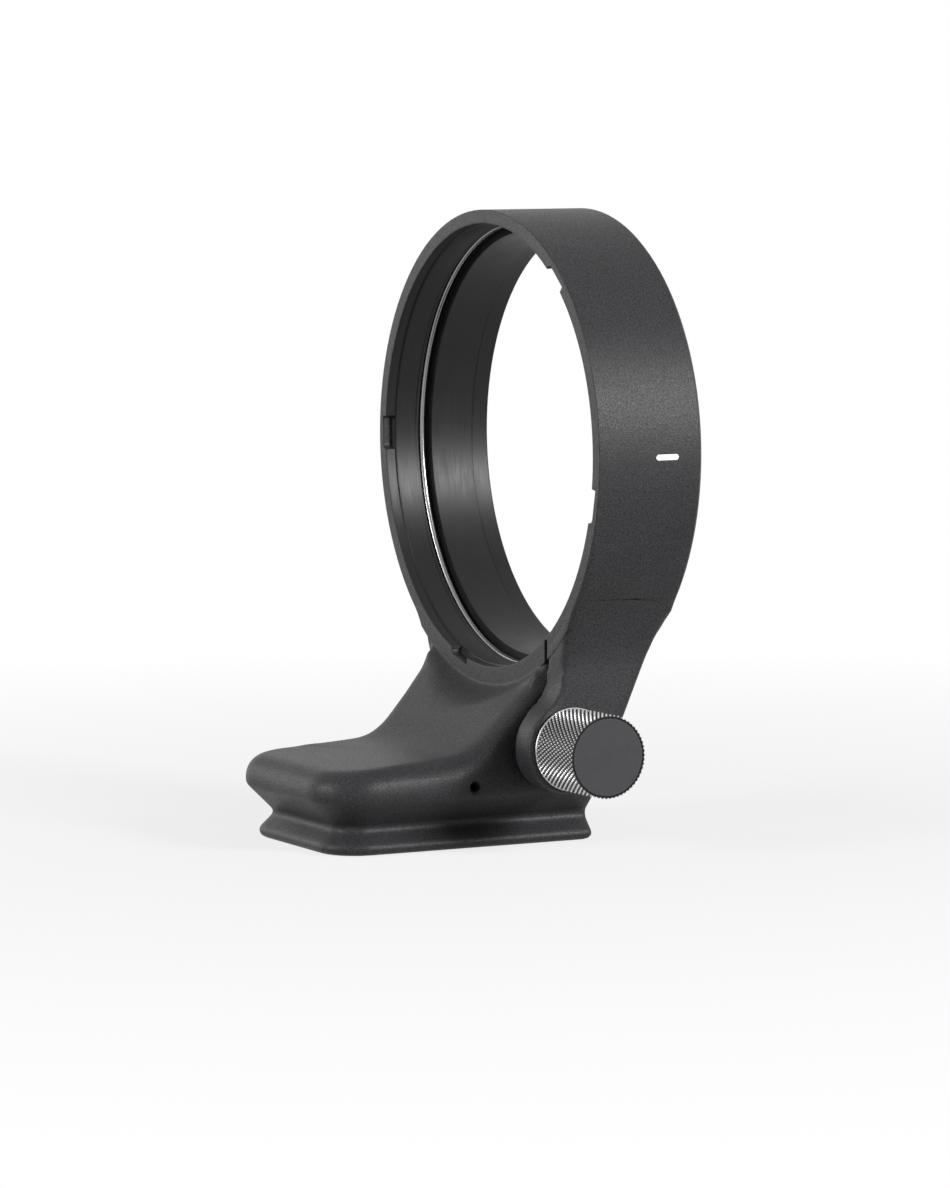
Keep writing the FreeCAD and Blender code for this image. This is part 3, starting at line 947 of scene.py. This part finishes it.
@dataclass(frozen=True)
class CastShell:
    """The casting with its edges and its sweep from foot to ring rounded as on the cast part."""

    shape: CastShape = CastShape()

    def solid(self) -> bpy.types.Mesh:
        """The solid part's mesh, merged and in millimetres.

        Returns:
            The mesh.
        """
        bm = bmesh.new()
        bm.from_mesh(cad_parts["collar_casting"].data)
        bmesh.ops.remove_doubles(bm, verts=bm.verts, dist=1e-7)
        bmesh.ops.scale(bm, vec=(1.0 / MM,) * 3, verts=bm.verts)
        return mesh_of(bm, "casting_solid")

    def ring(self) -> bpy.types.Mesh:
        """The ring with its bore, crisp as turned on a lathe.

        Returns:
            The mesh.
        """
        s = self.shape
        start, end = s.front - s.ahead, s.rear + s.behind
        wide_to, wide_from = s.front + s.front_band, s.rear - s.rear_band
        profile = [
            (start, 0.0), (start, s.face_r), (wide_to, s.face_r), (wide_to, s.ring_cut),
            (wide_from, s.ring_cut), (wide_from, s.face_r), (end, s.face_r), (end, 0.0)]
        return carved(self.solid(), turned_mesh("ring_tool", profile, Axis.Y, (0.0, 0.0), 181), Cut.INSIDE)

    def block(self, outline: Profile) -> bpy.types.Mesh:
        """Tool that is pulled along Y past both ends of the casting.

        Args:
            outline: Its corners as (X, Z).

        Returns:
            The block.
        """
        return prism_mesh("block", outline, self.shape.front - 60.0, self.shape.rear + 20.0, Axis.Y)

    def web_block(self) -> bpy.types.Mesh:
        """Block round foot and web, from where the waist leaves the ring to the slit."""
        s = self.shape
        return self.block([
            (-s.side, -s.side * math.tan(math.radians(s.web_from))), (-s.side, -s.reach), (s.slit_x, -s.reach),
            (s.slit_x, 0.0), (0.0, 0.0)])

    def arm_block(self) -> bpy.types.Mesh:
        """Block round the arm, from the slit to where it leaves the ring."""
        s = self.shape
        slope = math.tan(math.radians(s.arm_to))
        return self.block([
            (s.slit_x, s.slit_x * slope), (s.slit_x, -s.reach), (s.side, -s.reach), (s.side, s.side * slope)])

    def ring_space(self, front_to: float, rear_r: float, rear_from: float) -> bpy.types.Mesh:
        """Room that the ring keeps for itself in the rounded part.

        Args:
            front_to: How far back the full radius reaches in front.
            rear_r: Radius behind.
            rear_from: Where that radius starts.

        Returns:
            The turned tool.
        """
        s = self.shape
        start, end = s.front - s.ahead, s.rear + s.behind
        profile = [
            (start, 0.0), (start, s.face_r), (front_to, s.face_r), (front_to, s.sunk_r),
            (rear_from, s.sunk_r), (rear_from, rear_r), (end, rear_r), (end, 0.0)]
        return turned_mesh("ring_space", profile, Axis.Y, (0.0, 0.0), 179)

    def sweep_fill(self, rows: int = 90, columns: int = 64) -> bpy.types.Mesh:
        """Full form of the saddle: foot top, hollow and web, with the turned scallop in front of the ring.

        Args:
            rows: Points along Y.
            columns: Points along X.

        Returns:
            The closed mesh.
        """
        s = self.shape
        line = np.array(rounded_line(s.sweep))
        y = np.linspace(s.sweep_from, s.sweep_to, rows)[:, None]
        grow = np.clip((y - s.widen[0]) / (s.widen[1] - s.widen[0]), 0.0, 1.0)
        half = s.half + (s.half_ring - s.half) * grow
        x = np.linspace(-1.0, 1.0, columns)[None, :] * half
        top = np.interp(y, line[:, 0], line[:, 1]) + 0.0 * x
        share = np.clip((y - s.round_span[0]) / (s.round_span[1] - s.round_span[0]), 0.0, 1.0)
        radius = s.round_toe + (s.round_ring - s.round_toe) * share
        inward = np.clip(radius - (half - np.abs(x)), 0.0, None)
        top = top - (radius - np.sqrt(np.clip(radius ** 2 - inward ** 2, 0.0, None)))
        cone = s.face_r + s.scallop_slope * np.clip(s.web_front - y, 0.0, None)
        top = np.minimum(top, -np.sqrt(cone ** 2 - x ** 2))
        low = np.where(y < -12.4, s.floor, s.floor_ring) + 0.0 * x
        low = np.where(np.abs(x) > s.half, np.maximum(low, s.floor_ring + 2.0), low)
        low = np.minimum(low, top - 0.5)
        bm = bmesh.new()
        sheets = []
        for z in (top, low):
            sheets.append([[bm.verts.new((x[i, j], y[i, 0], z[i, j])) for j in range(columns)] for i in range(rows)])
        for sheet in sheets:
            for i in range(rows - 1):
                for j in range(columns - 1):
                    bm.faces.new((sheet[i][j], sheet[i][j + 1], sheet[i + 1][j + 1], sheet[i + 1][j]))
        rim = ([(0, j) for j in range(columns)] + [(i, columns - 1) for i in range(1, rows)]
               + [(rows - 1, j) for j in range(columns - 2, -1, -1)] + [(i, 0) for i in range(rows - 2, 0, -1)])
        for (i, j), (k, m) in zip(rim, rim[1:] + rim[:1]):
            bm.faces.new((sheets[0][i][j], sheets[0][k][m], sheets[1][k][m], sheets[1][i][j]))
        bmesh.ops.recalc_face_normals(bm, faces=bm.faces)
        return mesh_of(bm, "sweep_fill")

    def bend_fill(self) -> bpy.types.Mesh:
        """The arm's front edge, hollow between the ring's front plane and the lobe around the screw.

        Returns:
            The closed mesh.
        """
        s = self.shape
        level = s.front + 0.03
        side = level - s.bend_r - s.knob_y
        rise = math.sqrt((s.lobe_r + s.bend_r) ** 2 - side ** 2)
        centre, lobe = Vector((level - s.bend_r, s.knob_z + rise)), Vector((s.knob_y, s.knob_z))
        lower, upper = s.arm_cut[0] - s.arm_lap[0], s.arm_cut[1] + s.arm_lap[1]
        out, spoke = lobe - centre, centre - lobe
        meet = math.atan2(out.y, out.x)
        outline = [(s.arm_back, upper), (level, upper)]
        for k in range(13):
            turn = meet * k / 12
            outline.append((centre.x + s.bend_r * math.cos(turn), centre.y + s.bend_r * math.sin(turn)))
        first, last = math.atan2(spoke.y, spoke.x), math.pi - math.asin((lower - s.knob_z) / s.lobe_r)
        for k in range(1, 9):
            turn = first + (last - first) * k / 8
            outline.append((s.knob_y + s.lobe_r * math.cos(turn), s.knob_z + s.lobe_r * math.sin(turn)))
        outline.append((s.arm_back, lower))
        return prism_mesh("bend_fill", outline, s.arm_inner, s.arm_face, Axis.X)

    def rounded(self, name: str, meshes: Iterable[bpy.types.Mesh]) -> bpy.types.Mesh:
        """Melts solids into one skin and rounds it, more so on the saddle.

        Args:
            name: Name of the result.
            meshes: The closed meshes.

        Returns:
            The skin.
        """
        s = self.shape
        work = link_mesh(name, joined(name, meshes))
        step = work.modifiers.new("melt", "REMESH")
        step.mode, step.voxel_size, step.adaptivity = "VOXEL", s.grid, 0.0
        mesh = finished(work, name)
        place = np.empty(len(mesh.vertices) * 3)
        mesh.vertices.foreach_get("co", place)
        x, y, z = place.reshape(-1, 3).T
        saddle = (y > -37.0) & (y < s.web_front - 0.35) & (z > -58.0) & (np.abs(x) < 22.9)
        relaxed(mesh, np.where(saddle, s.saddle_passes, s.edge_passes))
        for face in mesh.polygons:
            face.use_smooth = True
        LOG.info("%s has %d faces", name, len(mesh.polygons))
        return mesh

    def build(self) -> bpy.types.Mesh:
        """Makes the whole casting.

        Returns:
            The mesh, in metres.
        """
        s = self.shape
        ring = self.ring()
        smooth_below(ring, 30.0)
        web = carved(self.solid(), self.web_block(), Cut.INSIDE)
        web = carved(web, self.ring_space(s.web_front, s.clear_r, s.clear_from), Cut.OUTSIDE)
        arm = carved(self.solid(), self.arm_block(), Cut.INSIDE)
        arm = carved(arm, self.ring_space(s.front + s.flush, s.face_r, s.rear - s.flush), Cut.OUTSIDE)
        near, far, (low, high) = s.front - 12.0, s.arm_back - 1.2, s.arm_cut
        corner = prism_mesh("arm_corner", [(near, low), (far, low), (far, high), (near, high)],
                            s.slit_x, s.arm_face + 2.0, Axis.X)
        arm = carved(arm, corner, Cut.OUTSIDE)
        shell = joined("casting_shell", (ring, self.rounded("web_skin", (web, self.sweep_fill())),
                                         self.rounded("arm_skin", (arm, self.bend_fill()))))
        shell.transform(Matrix.Scale(MM, 4))
        return shell


@dataclass
class CastingGroup(SubAssembly):
    """The casting with what lies in its bore and its index mark. Angles in degrees."""

    shell: CastShell = CastShell()
    slit_angle: float = -55.0
    slit_half: float = 3.5

    def build(self) -> None:
        """Makes every piece of the group."""
        self.add("casting_shell", self.shell.build(), "crinkle_paint", ["collar_casting"])
        self.dress("bore_liner", "liner_plastic")
        self.dress("index_mark", "white_fill")
        self.wire()

    def wire(self, around: int = 220, sides: int = 14) -> None:
        """Round wire in place of the faceted one, open at the slit as that one is.

        Args:
            around: Number of segments along the wire.
            sides: Number of segments round its section.
        """
        low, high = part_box("friction_wire")
        thick = high.y - low.y
        radius = high.z - thick / 2.0
        middle = (low.y + high.y) / 2.0
        start, end = (math.radians(v) for v in (self.slit_angle + self.slit_half, self.slit_angle - self.slit_half))
        sweep = end - start + 2.0 * math.pi
        bm = bmesh.new()
        rings = []
        for k in range(around + 1):
            turn = start + sweep * k / around
            ring = []
            for i in range(sides):
                a = 2.0 * math.pi * i / sides
                r = radius + thick / 2.0 * math.cos(a)
                ring.append(bm.verts.new((r * math.cos(turn), middle + thick / 2.0 * math.sin(a), r * math.sin(turn))))
            rings.append(ring)
        loft(bm, rings)
        mesh = mesh_of(bm, "round_wire")
        smooth_below(mesh, ROUND_SHARP)
        self.add("round_wire", mesh, "spring_steel", ["friction_wire"])


@dataclass(frozen=True)
class ThreadForm:
    """A screw thread: its pitch in metres, its flats as a share of that, its sink as a share of its depth."""

    pitch: float
    flat: float = 0.125
    sink: float = 0.15

    def ridge(self, root: float, crest: float) -> Profile:
        """Section of the thread's ridge.

        Args:
            root: Radius at the foot of the ridge.
            crest: Radius at its top.

        Returns:
            Corners as (along, radius).
        """
        foot = self.pitch * 0.5 * (1.0 - self.flat)
        top = self.pitch * self.flat * 0.5
        sink = (root - crest) * self.sink
        return [(-foot, root + sink), (foot, root + sink), (foot, root), (top, crest), (-top, crest), (-foot, root)]


@dataclass
class FootHardware(SubAssembly):
    """Tripod bush with its thread, its lock screw and the arm's bush. Lengths in metres."""

    thread: ThreadForm = ThreadForm(1.27 * MM)
    root: float = 3.20 * MM
    crest: float = 2.60 * MM
    floor_thick: float = 1.9 * MM
    floor_bevel: float = 0.8 * MM
    bevel: float = 0.25 * MM
    mouth: tuple[float, float] = (0.5 * MM, 0.45 * MM)
    thread_ends: tuple[float, float] = (0.9 * MM, 1.1 * MM)

    def build(self) -> None:
        """Makes every piece of the group."""
        self.dress("arm_bush", "brass_bush")
        self.dress("bush_lock_screw", "blackened_steel")
        self.tripod_bush()

    def tripod_bush(self) -> None:
        """Bush with a countersunk mouth and a real thread down its bore."""
        low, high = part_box("tripod_bush")
        centre = ((low.x + high.x) / 2.0, (low.y + high.y) / 2.0)
        outer = (high.x - low.x) / 2.0
        floor = high.z - self.floor_thick
        profile = [
            (low.z, outer - self.bevel), (low.z + self.bevel, outer), (high.z, outer), (high.z, 0.0),
            (floor, 0.0), (floor, self.crest), (floor - self.floor_bevel, self.root),
            (low.z + self.mouth[0], self.root), (low.z, self.root + self.mouth[1])]
        mesh = turned_mesh("tripod_bush_turned", profile, Axis.Z, centre, 72)
        self.add("tripod_bush_turned", mesh, "steel", ["tripod_bush"])
        ridge = self.thread.ridge(self.root, self.crest)
        start, end = low.z + self.thread_ends[0], floor - self.thread_ends[1]
        helix = helix_mesh("tripod_thread", Axis.Z, centre, start, end, self.thread.pitch, ridge)
        self.add("tripod_thread", helix, "steel")


@dataclass(frozen=True)
class Knurl:
    """Diamond knurl on the knob: sizes in metres."""

    teeth: int = 58
    depth: float = 0.34 * MM
    helix: float = math.radians(30.0)
    plateau: float = 0.14

    def cell(self, radius: float) -> tuple[float, float]:
        """Size of one diamond.

        Args:
            radius: Radius of the knurl's tips.

        Returns:
            Its width around and its length along the knob.
        """
        width = 2.0 * math.pi * radius / self.teeth
        return width, width / math.tan(self.helix)


def knurl_cell(width: float, length: float, depth: float, plateau: float) -> bpy.types.Mesh:
    """One diamond of the knurl: a low pyramid with a small flat on top.

    Args:
        width: Its width around the knob.
        length: Its length along the knob.
        depth: Its height.
        plateau: Size of the flat as a share of the diamond.

    Returns:
        The mesh, centred on the origin with its height along Z.
    """
    bm = bmesh.new()
    corners = ((width / 2.0, 0.0), (0.0, length / 2.0), (-width / 2.0, 0.0), (0.0, -length / 2.0))
    low = [bm.verts.new((x, y, 0.0)) for x, y in corners]
    top = [bm.verts.new((x * plateau, y * plateau, depth)) for x, y in corners]
    loft(bm, (low, top), capped=False)
    bm.faces.new(top)
    return mesh_of(bm, "knurl_cell")


class KnurlNodes:
    """Geometry nodes that lay out the knurl's diamonds and wrap them round the knob.

    Args:
        cell: One diamond as an object.
        material: Finish of the knurl.
    """

    INPUTS = (("Radius", "NodeSocketFloat"), ("Depth", "NodeSocketFloat"), ("Teeth", "NodeSocketInt"),
              ("Rows", "NodeSocketInt"), ("Row Step", "NodeSocketFloat"), ("Start", "NodeSocketFloat"),
              ("End", "NodeSocketFloat"))

    def __init__(self, cell: bpy.types.Object, material: bpy.types.Material) -> None:
        self.tree = bpy.data.node_groups.new("knurl", "GeometryNodeTree")
        face = self.tree.interface
        face.new_socket("Geometry", in_out="INPUT", socket_type="NodeSocketGeometry")
        for name, kind in self.INPUTS:
            face.new_socket(name, in_out="INPUT", socket_type=kind)
        face.new_socket("Geometry", in_out="OUTPUT", socket_type="NodeSocketGeometry")
        self._wire(cell, material)

    def _node(self, kind: str, **settings: object) -> bpy.types.Node:
        """Adds a node.

        Args:
            kind: The node's class name.
            settings: Properties of the node to set.

        Returns:
            The new node.
        """
        node = self.tree.nodes.new(kind)
        for key, value in settings.items():
            setattr(node, key, value)
        return node

    def _math(self, operation: str, a: object, b: object = 0.0) -> bpy.types.NodeSocket:
        """Adds a math node.

        Args:
            operation: Name of the operation.
            a: First value or socket.
            b: Second value or socket.

        Returns:
            The result's socket.
        """
        node = self._node("ShaderNodeMath", operation=operation)
        for i, value in enumerate((a, b)):
            if isinstance(value, bpy.types.NodeSocket):
                self.tree.links.new(value, node.inputs[i])
            else:
                node.inputs[i].default_value = value
        return node.outputs[0]

    def _wire(self, cell: bpy.types.Object, material: bpy.types.Material) -> None:
        """Lays out the points, sets a diamond on each and wraps the sheet.

        Args:
            cell: One diamond as an object.
            material: Finish of the knurl.
        """
        link = self.tree.links.new
        given = self._node("NodeGroupInput").outputs
        count = self._math("MULTIPLY", given["Teeth"], given["Rows"])
        points = self._node("GeometryNodePoints")
        link(count, points.inputs["Count"])
        index = self._node("GeometryNodeInputIndex").outputs[0]
        row = self._math("FLOOR", self._math("DIVIDE", self._math("ADD", index, 0.5), given["Teeth"]))
        column = self._math("SUBTRACT", index, self._math("MULTIPLY", row, given["Teeth"]))
        shift = self._math("MULTIPLY", self._math("MODULO", row, 2.0), 0.5)
        around = self._math("MULTIPLY", given["Radius"], 2.0 * math.pi)
        step = self._math("DIVIDE", around, given["Teeth"])
        place = self._node("ShaderNodeCombineXYZ")
        link(self._math("MULTIPLY", self._math("ADD", column, shift), step), place.inputs["X"])
        link(self._math("ADD", given["Start"], self._math("MULTIPLY", row, given["Row Step"])), place.inputs["Y"])
        link(place.outputs[0], points.inputs["Position"])
        one = self._node("GeometryNodeObjectInfo")
        one.inputs["Object"].default_value = cell
        copies = self._node("GeometryNodeInstanceOnPoints")
        link(points.outputs[0], copies.inputs["Points"])
        link(one.outputs["Geometry"], copies.inputs["Instance"])
        real = self._node("GeometryNodeRealizeInstances")
        link(copies.outputs[0], real.inputs[0])
        at = self._node("ShaderNodeSeparateXYZ")
        link(self._node("GeometryNodeInputPosition").outputs[0], at.inputs[0])
        turn = self._math("DIVIDE", at.outputs["X"], given["Radius"])
        reach = self._math("ADD", self._math("SUBTRACT", given["Radius"], given["Depth"]), at.outputs["Z"])
        along = self._math("MINIMUM", self._math("MAXIMUM", at.outputs["Y"], given["Start"]), given["End"])
        wrapped = self._node("ShaderNodeCombineXYZ")
        link(along, wrapped.inputs["X"])
        link(self._math("MULTIPLY", reach, self._math("COSINE", turn)), wrapped.inputs["Y"])
        link(self._math("MULTIPLY", reach, self._math("SINE", turn)), wrapped.inputs["Z"])
        wrap = self._node("GeometryNodeSetPosition")
        link(real.outputs[0], wrap.inputs["Geometry"])
        link(wrapped.outputs[0], wrap.inputs["Position"])
        joined = self._node("GeometryNodeMergeByDistance")
        link(wrap.outputs[0], joined.inputs["Geometry"])
        joined.inputs["Distance"].default_value = 1e-6
        paint = self._node("GeometryNodeSetMaterial")
        link(joined.outputs[0], paint.inputs["Geometry"])
        paint.inputs["Material"].default_value = material
        link(paint.outputs[0], self._node("NodeGroupOutput").inputs["Geometry"])

    def make(self, name: str, values: dict[str, float]) -> bpy.types.Mesh:
        """Runs the nodes and keeps the result as a plain mesh.

        Args:
            name: Name of the mesh.
            values: Input names and their values.

        Returns:
            The mesh.
        """
        carrier = link_mesh("knurl_carrier", bpy.data.meshes.new("knurl_carrier"))
        modifier = carrier.modifiers.new("knurl", "NODES")
        modifier.node_group = self.tree
        for item in self.tree.interface.items_tree:
            if item.item_type == "SOCKET" and item.in_out == "INPUT" and item.name in values:
                modifier[item.identifier] = values[item.name]
        return finished(carrier, name)


@dataclass
class KnobGroup(SubAssembly):
    """The knurled knob with its cap and stud. Lengths in metres."""

    knurl: Knurl = Knurl()
    thread: ThreadForm = ThreadForm(0.8 * MM)
    thread_depths: tuple[float, float] = (0.04 * MM, 0.03 * MM)
    thread_span: tuple[float, float] = (1.8 * MM, 9.0 * MM)
    rim: float = 0.30 * MM
    rim_drop: float = 0.04 * MM
    corner: float = 0.1 * MM
    seat_depth: float = 1.1 * MM
    hub: float = 6.2 * MM
    bore: float = 2.6 * MM
    cap_gap: float = 0.10 * MM

    def build(self) -> None:
        """Makes every piece of the group."""
        self.dress("knob_cap", "cap_black")
        self.dress("clamp_stud", "steel")
        self.stud_thread()
        self.knob()

    def stud_thread(self) -> None:
        """Thread ridge on the stretch of the stud that shows in the slit."""
        low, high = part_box("clamp_stud")
        centre = ((low.y + high.y) / 2.0, (low.z + high.z) / 2.0)
        crest = (high.y - low.y) / 2.0
        ridge = self.thread.ridge(crest - self.thread_depths[0], crest + self.thread_depths[1])
        start, end = (low.x + place for place in self.thread_span)
        helix = helix_mesh("stud_thread", Axis.X, centre, start, end, self.thread.pitch, ridge)
        self.add("stud_thread", helix, "steel")

    def knob(self) -> None:
        """Knob core with the knurl standing on it."""
        low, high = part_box("knob_body")
        centre = ((low.y + high.y) / 2.0, (low.z + high.z) / 2.0)
        radius = (high.y - low.y) / 2.0
        cap_low, cap_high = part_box("knob_cap")
        cap_radius = (cap_high.y - cap_low.y) / 2.0
        valley, rim_radius = radius - self.knurl.depth, radius - self.rim_drop
        knurl_from = low.x + 2.0 * self.rim
        seat = low.x + self.seat_depth
        gap = cap_radius + self.cap_gap
        profile = [
            (low.x, self.hub), (low.x, valley), (low.x + self.rim, rim_radius), (knurl_from, rim_radius),
            (low.x + 2.6 * self.rim, valley), (high.x - self.corner, valley), (high.x, valley - self.corner),
            (high.x, gap), (cap_low.x, gap), (cap_low.x, self.bore), (seat, self.bore), (seat, self.hub)]
        core = turned_mesh("knob_core", profile, Axis.X, centre, 2 * self.knurl.teeth)
        self.add("knob_core", core, "black_anodised", ["knob_body"])
        self.add("knob_knurl", self.knurl_mesh(knurl_from, high.x, radius, centre), "black_anodised")

    def knurl_mesh(self, start: float, end: float, radius: float, centre: tuple[float, float]) -> bpy.types.Mesh:
        """The knurl as one mesh.

        Args:
            start: Where it starts along X.
            end: Where it ends.
            radius: Radius of its tips.
            centre: The knob axis's Y and Z.

        Returns:
            The mesh in place.
        """
        width, length = self.knurl.cell(radius)
        rows = int((end - start) / (length / 2.0)) + 1
        step = (end - start) / (rows - 1)
        diamond = knurl_cell(width, 2.0 * step, self.knurl.depth, self.knurl.plateau)
        cell = link_mesh("knurl_cell", diamond)
        nodes = KnurlNodes(cell, self.palette.get("black_anodised"))
        mesh = nodes.make("knob_knurl", {
            "Radius": radius, "Depth": self.knurl.depth, "Teeth": self.knurl.teeth, "Rows": rows,
            "Row Step": step, "Start": start, "End": end})
        bpy.data.objects.remove(cell)
        mesh.transform(Matrix.Translation((0.0, centre[0], centre[1])))
        return mesh


@dataclass
class WasherGroup(SubAssembly):
    """The washer between knob and arm."""

    def build(self) -> None:
        """Makes every piece of the group."""
        self.dress("thrust_washer", "white_plastic")


# Stage


@dataclass(frozen=True)
class Shot:
    """The photograph's camera, found from the ring's outlines. Angles in degrees, lengths in metres."""

    azimuth: float = 62.23
    elevation: float = 3.925
    roll: float = -0.112
    distance: float = 1.001
    aim_right: float = -0.0020
    aim_up: float = -0.0274
    target: Point = (0.0, -10.6 * MM, 0.0)
    sensor: float = 36.0
    lens: float = 164.37

    def build(self) -> bpy.types.Object:
        """Makes the scene's camera.

        Returns:
            The camera object.
        """
        a, e, r = (math.radians(v) for v in (self.azimuth, self.elevation, self.roll))
        back = Vector((math.sin(a) * math.cos(e), -math.cos(a) * math.cos(e), math.sin(e)))
        right = Vector((math.cos(a), math.sin(a), 0.0))
        up = back.cross(right)
        place = Vector(self.target) + back * self.distance
        back = (back - right * self.aim_right - up * self.aim_up).normalized()
        right = up.cross(back).normalized()
        up = back.cross(right)
        right, up = right * math.cos(r) + up * math.sin(r), up * math.cos(r) - right * math.sin(r)
        data = bpy.data.cameras.new("camera")
        data.sensor_fit = "VERTICAL"
        data.sensor_height = self.sensor
        data.lens = self.lens
        data.clip_start = 0.01
        camera = bpy.data.objects.new("camera", data)
        camera.matrix_world = Matrix.Translation(place) @ Matrix((right, up, back)).transposed().to_4x4()
        bpy.context.scene.collection.objects.link(camera)
        bpy.context.scene.camera = camera
        return camera


@dataclass(frozen=True)
class Softbox:
    """An area lamp aimed at the object. Lengths in metres."""

    name: str
    direction: Point
    distance: float
    size: tuple[float, float]
    watts: float

    def build(self, aim: Vector) -> bpy.types.Object:
        """Makes the lamp.

        Args:
            aim: The point that it faces.

        Returns:
            The lamp object.
        """
        data = bpy.data.lights.new(self.name, "AREA")
        data.shape = "RECTANGLE"
        data.size, data.size_y = self.size
        data.energy = self.watts
        lamp = bpy.data.objects.new(self.name, data)
        away = Vector(self.direction).normalized()
        lamp.location = aim + away * self.distance
        lamp.rotation_euler = away.to_track_quat("Z", "Y").to_euler()
        bpy.context.scene.collection.objects.link(lamp)
        return lamp


@dataclass(frozen=True)
class Studio:
    """Floor, world and lamps. Lengths in metres."""

    lamps: tuple[Softbox, ...] = (
        Softbox("key", (0.81, 0.465, 0.34), 0.9, (0.26, 0.22), 10.0),
        Softbox("fill", (-0.883, -0.465, 0.10), 1.0, (0.5, 0.7), 2.5),
        Softbox("front", (-0.04, -0.93, 0.34), 1.1, (0.35, 0.35), 10.0),
    )
    world_light: float = 0.17
    floor_half: float = 6.0
    floor_colour: float = 0.55
    near_share: float = 0.22
    fade_from: float = 0.10
    fade_to: float = 0.32

    def build(self) -> None:
        """Makes the stage."""
        low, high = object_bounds()
        middle = (Vector(low) + Vector(high)) / 2.0
        for lamp in self.lamps:
            lamp.build(middle)
        self.world()
        self.floor(low[2])
        bpy.context.scene.view_settings.view_transform = "Standard"

    @staticmethod
    def seen(tree: bpy.types.NodeTree) -> bpy.types.NodeSocket:
        """Whether a ray comes from the camera, a reflection or through glass.

        Args:
            tree: The node tree to add to.

        Returns:
            A socket that is 1 for such rays and 0 for others.
        """
        path = tree.nodes.new("ShaderNodeLightPath")
        value = path.outputs["Is Camera Ray"]
        for name in ("Is Glossy Ray", "Is Transmission Ray"):
            either = tree.nodes.new("ShaderNodeMath")
            either.operation = "MAXIMUM"
            tree.links.new(value, either.inputs[0])
            tree.links.new(path.outputs[name], either.inputs[1])
            value = either.outputs[0]
        return value

    def world(self) -> None:
        """White to the eye and in reflections, and a weaker light on the object."""
        world = bpy.data.worlds.new("studio")
        bpy.context.scene.world = world
        world.use_nodes = True
        tree = world.node_tree
        tree.nodes.clear()
        mix = tree.nodes.new("ShaderNodeMixShader")
        tree.links.new(self.seen(tree), mix.inputs[0])
        for slot, strength in ((1, self.world_light), (2, 1.0)):
            light = tree.nodes.new("ShaderNodeBackground")
            light.inputs["Color"].default_value = (1.0, 1.0, 1.0, 1.0)
            light.inputs["Strength"].default_value = strength
            tree.links.new(light.outputs[0], mix.inputs[slot])
        out = tree.nodes.new("ShaderNodeOutputWorld")
        tree.links.new(mix.outputs[0], out.inputs["Surface"])

    def floor(self, height: float) -> None:
        """Pale floor that keeps a faint shadow near the object and fades to white.

        Args:
            height: Height of the floor, in metres.
        """
        h = self.floor_half
        mesh = bpy.data.meshes.new("floor")
        mesh.from_pydata([(-h, -h, height), (h, -h, height), (h, h, height), (-h, h, height)], [], [(0, 1, 2, 3)])
        g = Graph("floor")
        away = g.add("ShaderNodeVectorMath", operation="LENGTH")
        g.link(g.position, away.inputs[0])
        near = g.remap(away.outputs["Value"], self.fade_from, self.fade_to, self.near_share, 0.0)
        pale_share = g.math("MULTIPLY", self.seen(g.tree), g.math("SUBTRACT", 1.0, near))
        lit = g.add("ShaderNodeBsdfDiffuse")
        lit.inputs["Color"].default_value = (self.floor_colour,) * 3 + (1.0,)
        pale = g.add("ShaderNodeEmission")
        pale.inputs["Color"].default_value = (1.0, 1.0, 1.0, 1.0)
        pale.inputs["Strength"].default_value = 1.0
        mix = g.add("ShaderNodeMixShader")
        g.link(pale_share, mix.inputs[0])
        g.link(lit.outputs[0], mix.inputs[1])
        g.link(pale.outputs[0], mix.inputs[2])
        g.link(mix.outputs[0], g.output.inputs["Surface"])
        mesh.materials.append(g.material)
        link_mesh("floor", mesh)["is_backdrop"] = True


def main() -> None:
    """Builds the whole scene."""
    logging.basicConfig(level=logging.INFO)
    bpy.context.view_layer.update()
    palette = Palette()
    groups = (CastingGroup(palette, Body.COLLAR), FootHardware(palette, Body.COLLAR),
              WasherGroup(palette, Body.WASHERS), KnobGroup(palette, Body.KNOB))
    for group in groups:
        group.build()
        LOG.info("built %s", type(group).__name__)
    Shot().build()
    Studio().build()


if __name__ == "__main__":
    main()
